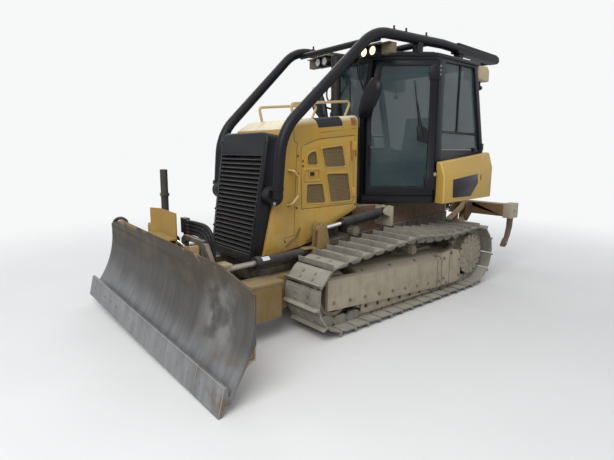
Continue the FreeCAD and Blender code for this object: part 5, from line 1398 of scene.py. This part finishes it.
# %% Plates of the side boxes, slots in painted shade and door latches
SIDE_PLATE = [(0.765, 1.250), (1.272, 1.297), (1.292, 1.190), (1.146, 1.048), (0.775, 1.054)]
BOX_NEAR, BOX_FAR = 0.8525, 0.8545      # the plate's two faces on the side box
LATCH_BOLTS = ((-0.893, 1.327), (-0.893, 1.375), (-0.837, 1.375), (-0.837, 1.327))
for side, word in SIDES:
    form = bmesh.new()
    slab(form, SIDE_PLATE, side * BOX_NEAR, side * BOX_FAR)
    shaped("side_plate_" + word, form, "plate_dark", rounded=0.0008)
    form = bmesh.new()
    # painted shade: thin dark plates stand for the shade inside the slots of the side box and the hood
    boxed(form, (side * BOX_NEAR, 1.346, 1.222), (side * BOX_FAR, 1.360, 1.290))
    boxed(form, (side * (HOOD_HALF + 0.0005), -0.304, 1.500), (side * (HOOD_HALF + 0.0025), -0.292, 1.640))
    shaped("dark_slots_" + word, form, "plate_dark", rounded=0.0005)
    form = bmesh.new()
    x = side * (hood_half(-0.865) + 0.0125)
    boxed(form, (x, -0.888, 1.332), (x + side * 0.006, -0.842, 1.370))
    lathe(form, (x + side * 0.005, -0.852, 1.351), (side, 0, 0), [
        (0, 0), (0, 0.010), (0.008, 0.010), (0.010, 0.006), (0.010, 0)], 14)
    shaped("door_latch_" + word, form, "cylinder_black", "engine_door_" + word, 0.0015)
    rows = [((x - side * 0.001, y, z), (side, 0, 0)) for y, z in LATCH_BOLTS]
    bolted("latch_bolts_" + word, 0.004, rows, "bolt_steel", "engine_door_" + word)

# %% Knobs on the sweeps
form = bmesh.new()
for place in ((0.576, 0.032, 2.6985), (0.577, 0.218, 2.7055), (0.578, 0.551, 2.718),
              (-0.576, 0.020, 2.6985)):
    lathe(form, place, UP, [(-0.006, 0), (-0.006, 0.014), (0.008, 0.014), (0.009, 0.008), (0.020, 0.008),
                            (0.024, 0.011), (0.032, 0.010), (0.036, 0.005), (0.037, 0)], 12)
shaped("sweep_knobs", form, "cab_black")

# %% Plain tag on the left angle cylinder, and the filter can under the lift cylinder
TAG = [(-1.494, 0.0462), (-1.414, 0.0462), (-1.414, 0.0475), (-1.494, 0.0475)]


def barrel_x(y):
    """The left angle cylinder's middle, which spreads by 53 mm over its 877 mm."""
    return 0.452 + 0.053 * (-0.985 - y) / 0.877


form = bmesh.new()
skin_over(form, [[(barrel_x(y) + radius * math.cos(a), y, 0.645 + radius * math.sin(a)) for y, radius in TAG]
                 for a in (math.radians(20 + 12 * k) for k in range(5))])
shaped("cylinder_tag", form, "tag_white", "angle_barrel_left")
form = bmesh.new()
lathe(form, (0.330, -0.262, 0.752), (1, 0, 0), [
    (0, 0), (0, 0.050), (0.012, 0.050), (0.014, 0.055), (0.074, 0.055), (0.084, 0.050), (0.088, 0.040),
    (0.090, 0.022), (0.094, 0.018), (0.094, 0)], 28)
shaped("filter_can", form, "worn_tan")

# %% [markdown]
# ## Under the guards
# Between the sloping guard and the ground a flat rock guard covers the rollers. Its bolts are sunk
# and dark with dirt, and the guard's own plates meet in dark seams.

# %% Rock guards and seams
ROCK_GUARD = [(-0.66, 0.225), (-0.66, 0.105), (-0.58, 0.092), (0.40, 0.080), (0.46, 0.095),
              (0.46, 0.135)]
GUARD_FACE = 0.9002
form = bmesh.new()
for side in (-1, 1):
    slab(form, ROCK_GUARD, side * 0.8525, side * 0.8635)
    for y in (-0.50 + 0.26 * k for k in range(4)):
        slab(form, [(y, 0.118), (y + 0.11, 0.112), (y + 0.11, 0.092), (y, 0.098)],
             side * 0.864, side * 0.8655)
shaped("rock_guards", form, "frame_tan", rounded=0.003)
rows = [((0.864, -0.60 + 0.165 * k, 0.158 - 0.008 * k), (1, 0, 0)) for k in range(7)]
bolted("rock_guard_bolts", 0.014, both(rows), "bolt_dark", "machine")
pairs = []
for face in (-GUARD_FACE, GUARD_FACE):
    for y, low, edge, top in ((0.485, 0.125, 0.411, 0.475), (0.564, 0.120, 0.409, 0.474)):
        pairs += [[(face, y, low), (face, y, edge)],
                  [(face, y, edge), (math.copysign(0.812, face), y, top)]]
    pairs.append([(face, 0.712, 0.118), (face, 0.712, 0.490)])
wires("guard_seams", pairs, 0.003, "bolt_dark", "machine")

# %% [markdown]
# ## The ripper and the rear
# Each shank ends in a pinned wear tip. Behind the cab the tank has a filler cap, a bolted cover and
# two lamps.

# %% Ripper tips and pins
SHANKS_X = (-0.8, 0.0, 0.8)
tips, studs = bmesh.new(), bmesh.new()
for x in SHANKS_X:
    slab(tips, [(2.118, 0.314), (2.150, 0.309), (2.196, 0.330), (2.228, 0.392), (2.196, 0.424), (2.160, 0.392),
                (2.128, 0.345)], x - 0.030, x + 0.030)
    for side in (-1, 1):
        lathe(studs, (x + side * 0.0545, 2.285, 0.800), (side, 0, 0), [
            (0, 0), (0, 0.030), (0.008, 0.030), (0.010, 0.018), (0.026, 0.018), (0.028, 0.014),
            (0.028, 0)], 16)
        lathe(studs, (x + side * 0.029, 2.176, 0.372), (side, 0, 0), [
            (0, 0), (0, 0.011), (0.006, 0.010), (0.006, 0)], 12)
shaped("ripper_tips", tips, "rust_iron", "ripper_tool_bar", 0.005)
shaped("ripper_pins", studs, "worn_tan", "ripper_tool_bar", 0.0015)

# %% Tank cap, cover and lamps
form = bmesh.new()
lathe(form, (-0.480, 1.636, 1.5295), UP, [
    (0, 0), (0, 0.042), (0.012, 0.042), (0.013, 0.048), (0.036, 0.047), (0.042, 0.040), (0.044, 0)], 24)
shaped("tank_cap", form, "cylinder_black", rounded=0.001)
form = bmesh.new()
slab(form, [(1.7005, 1.080), (1.7085, 1.084), (1.7085, 1.336), (1.7005, 1.340)], -0.26, 0.26)
for z in (1.110 + 0.030 * k for k in range(7)):
    slab(form, [(1.708, z), (1.7205, z - 0.004), (1.7205, z + 0.002), (1.708, z + 0.014)], -0.22, 0.22)
shaped("tank_cover", form, "hood_yellow", rounded=0.002)
rows = [((x, 1.7085, z), (0, 1, 0)) for x in (-0.245, 0.0, 0.245) for z in (1.096, 1.326)]
bolted("tank_cover_bolts", 0.007, rows, "bolt_steel", "machine")
form = bmesh.new()
for side, word in SIDES:
    boxed(form, (side * 0.585, 1.7002, 1.180), (side * 0.680, 1.718, 1.330))
    lamp("tail_lamp_" + word, (side * 0.632, 1.717, 1.255), (0, 1, 0), 0.036, "unlit_lens_painted_glow")
shaped("tail_boxes", form, "cab_black", rounded=0.006)

# %% [markdown]
# ## Sizes
# The dressed machine stays inside the room of its solids, apart from the knobs on the sweeps, which
# stand 25 mm over them. The box of what is shown is measured here.

# %% Sizes
low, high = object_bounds()
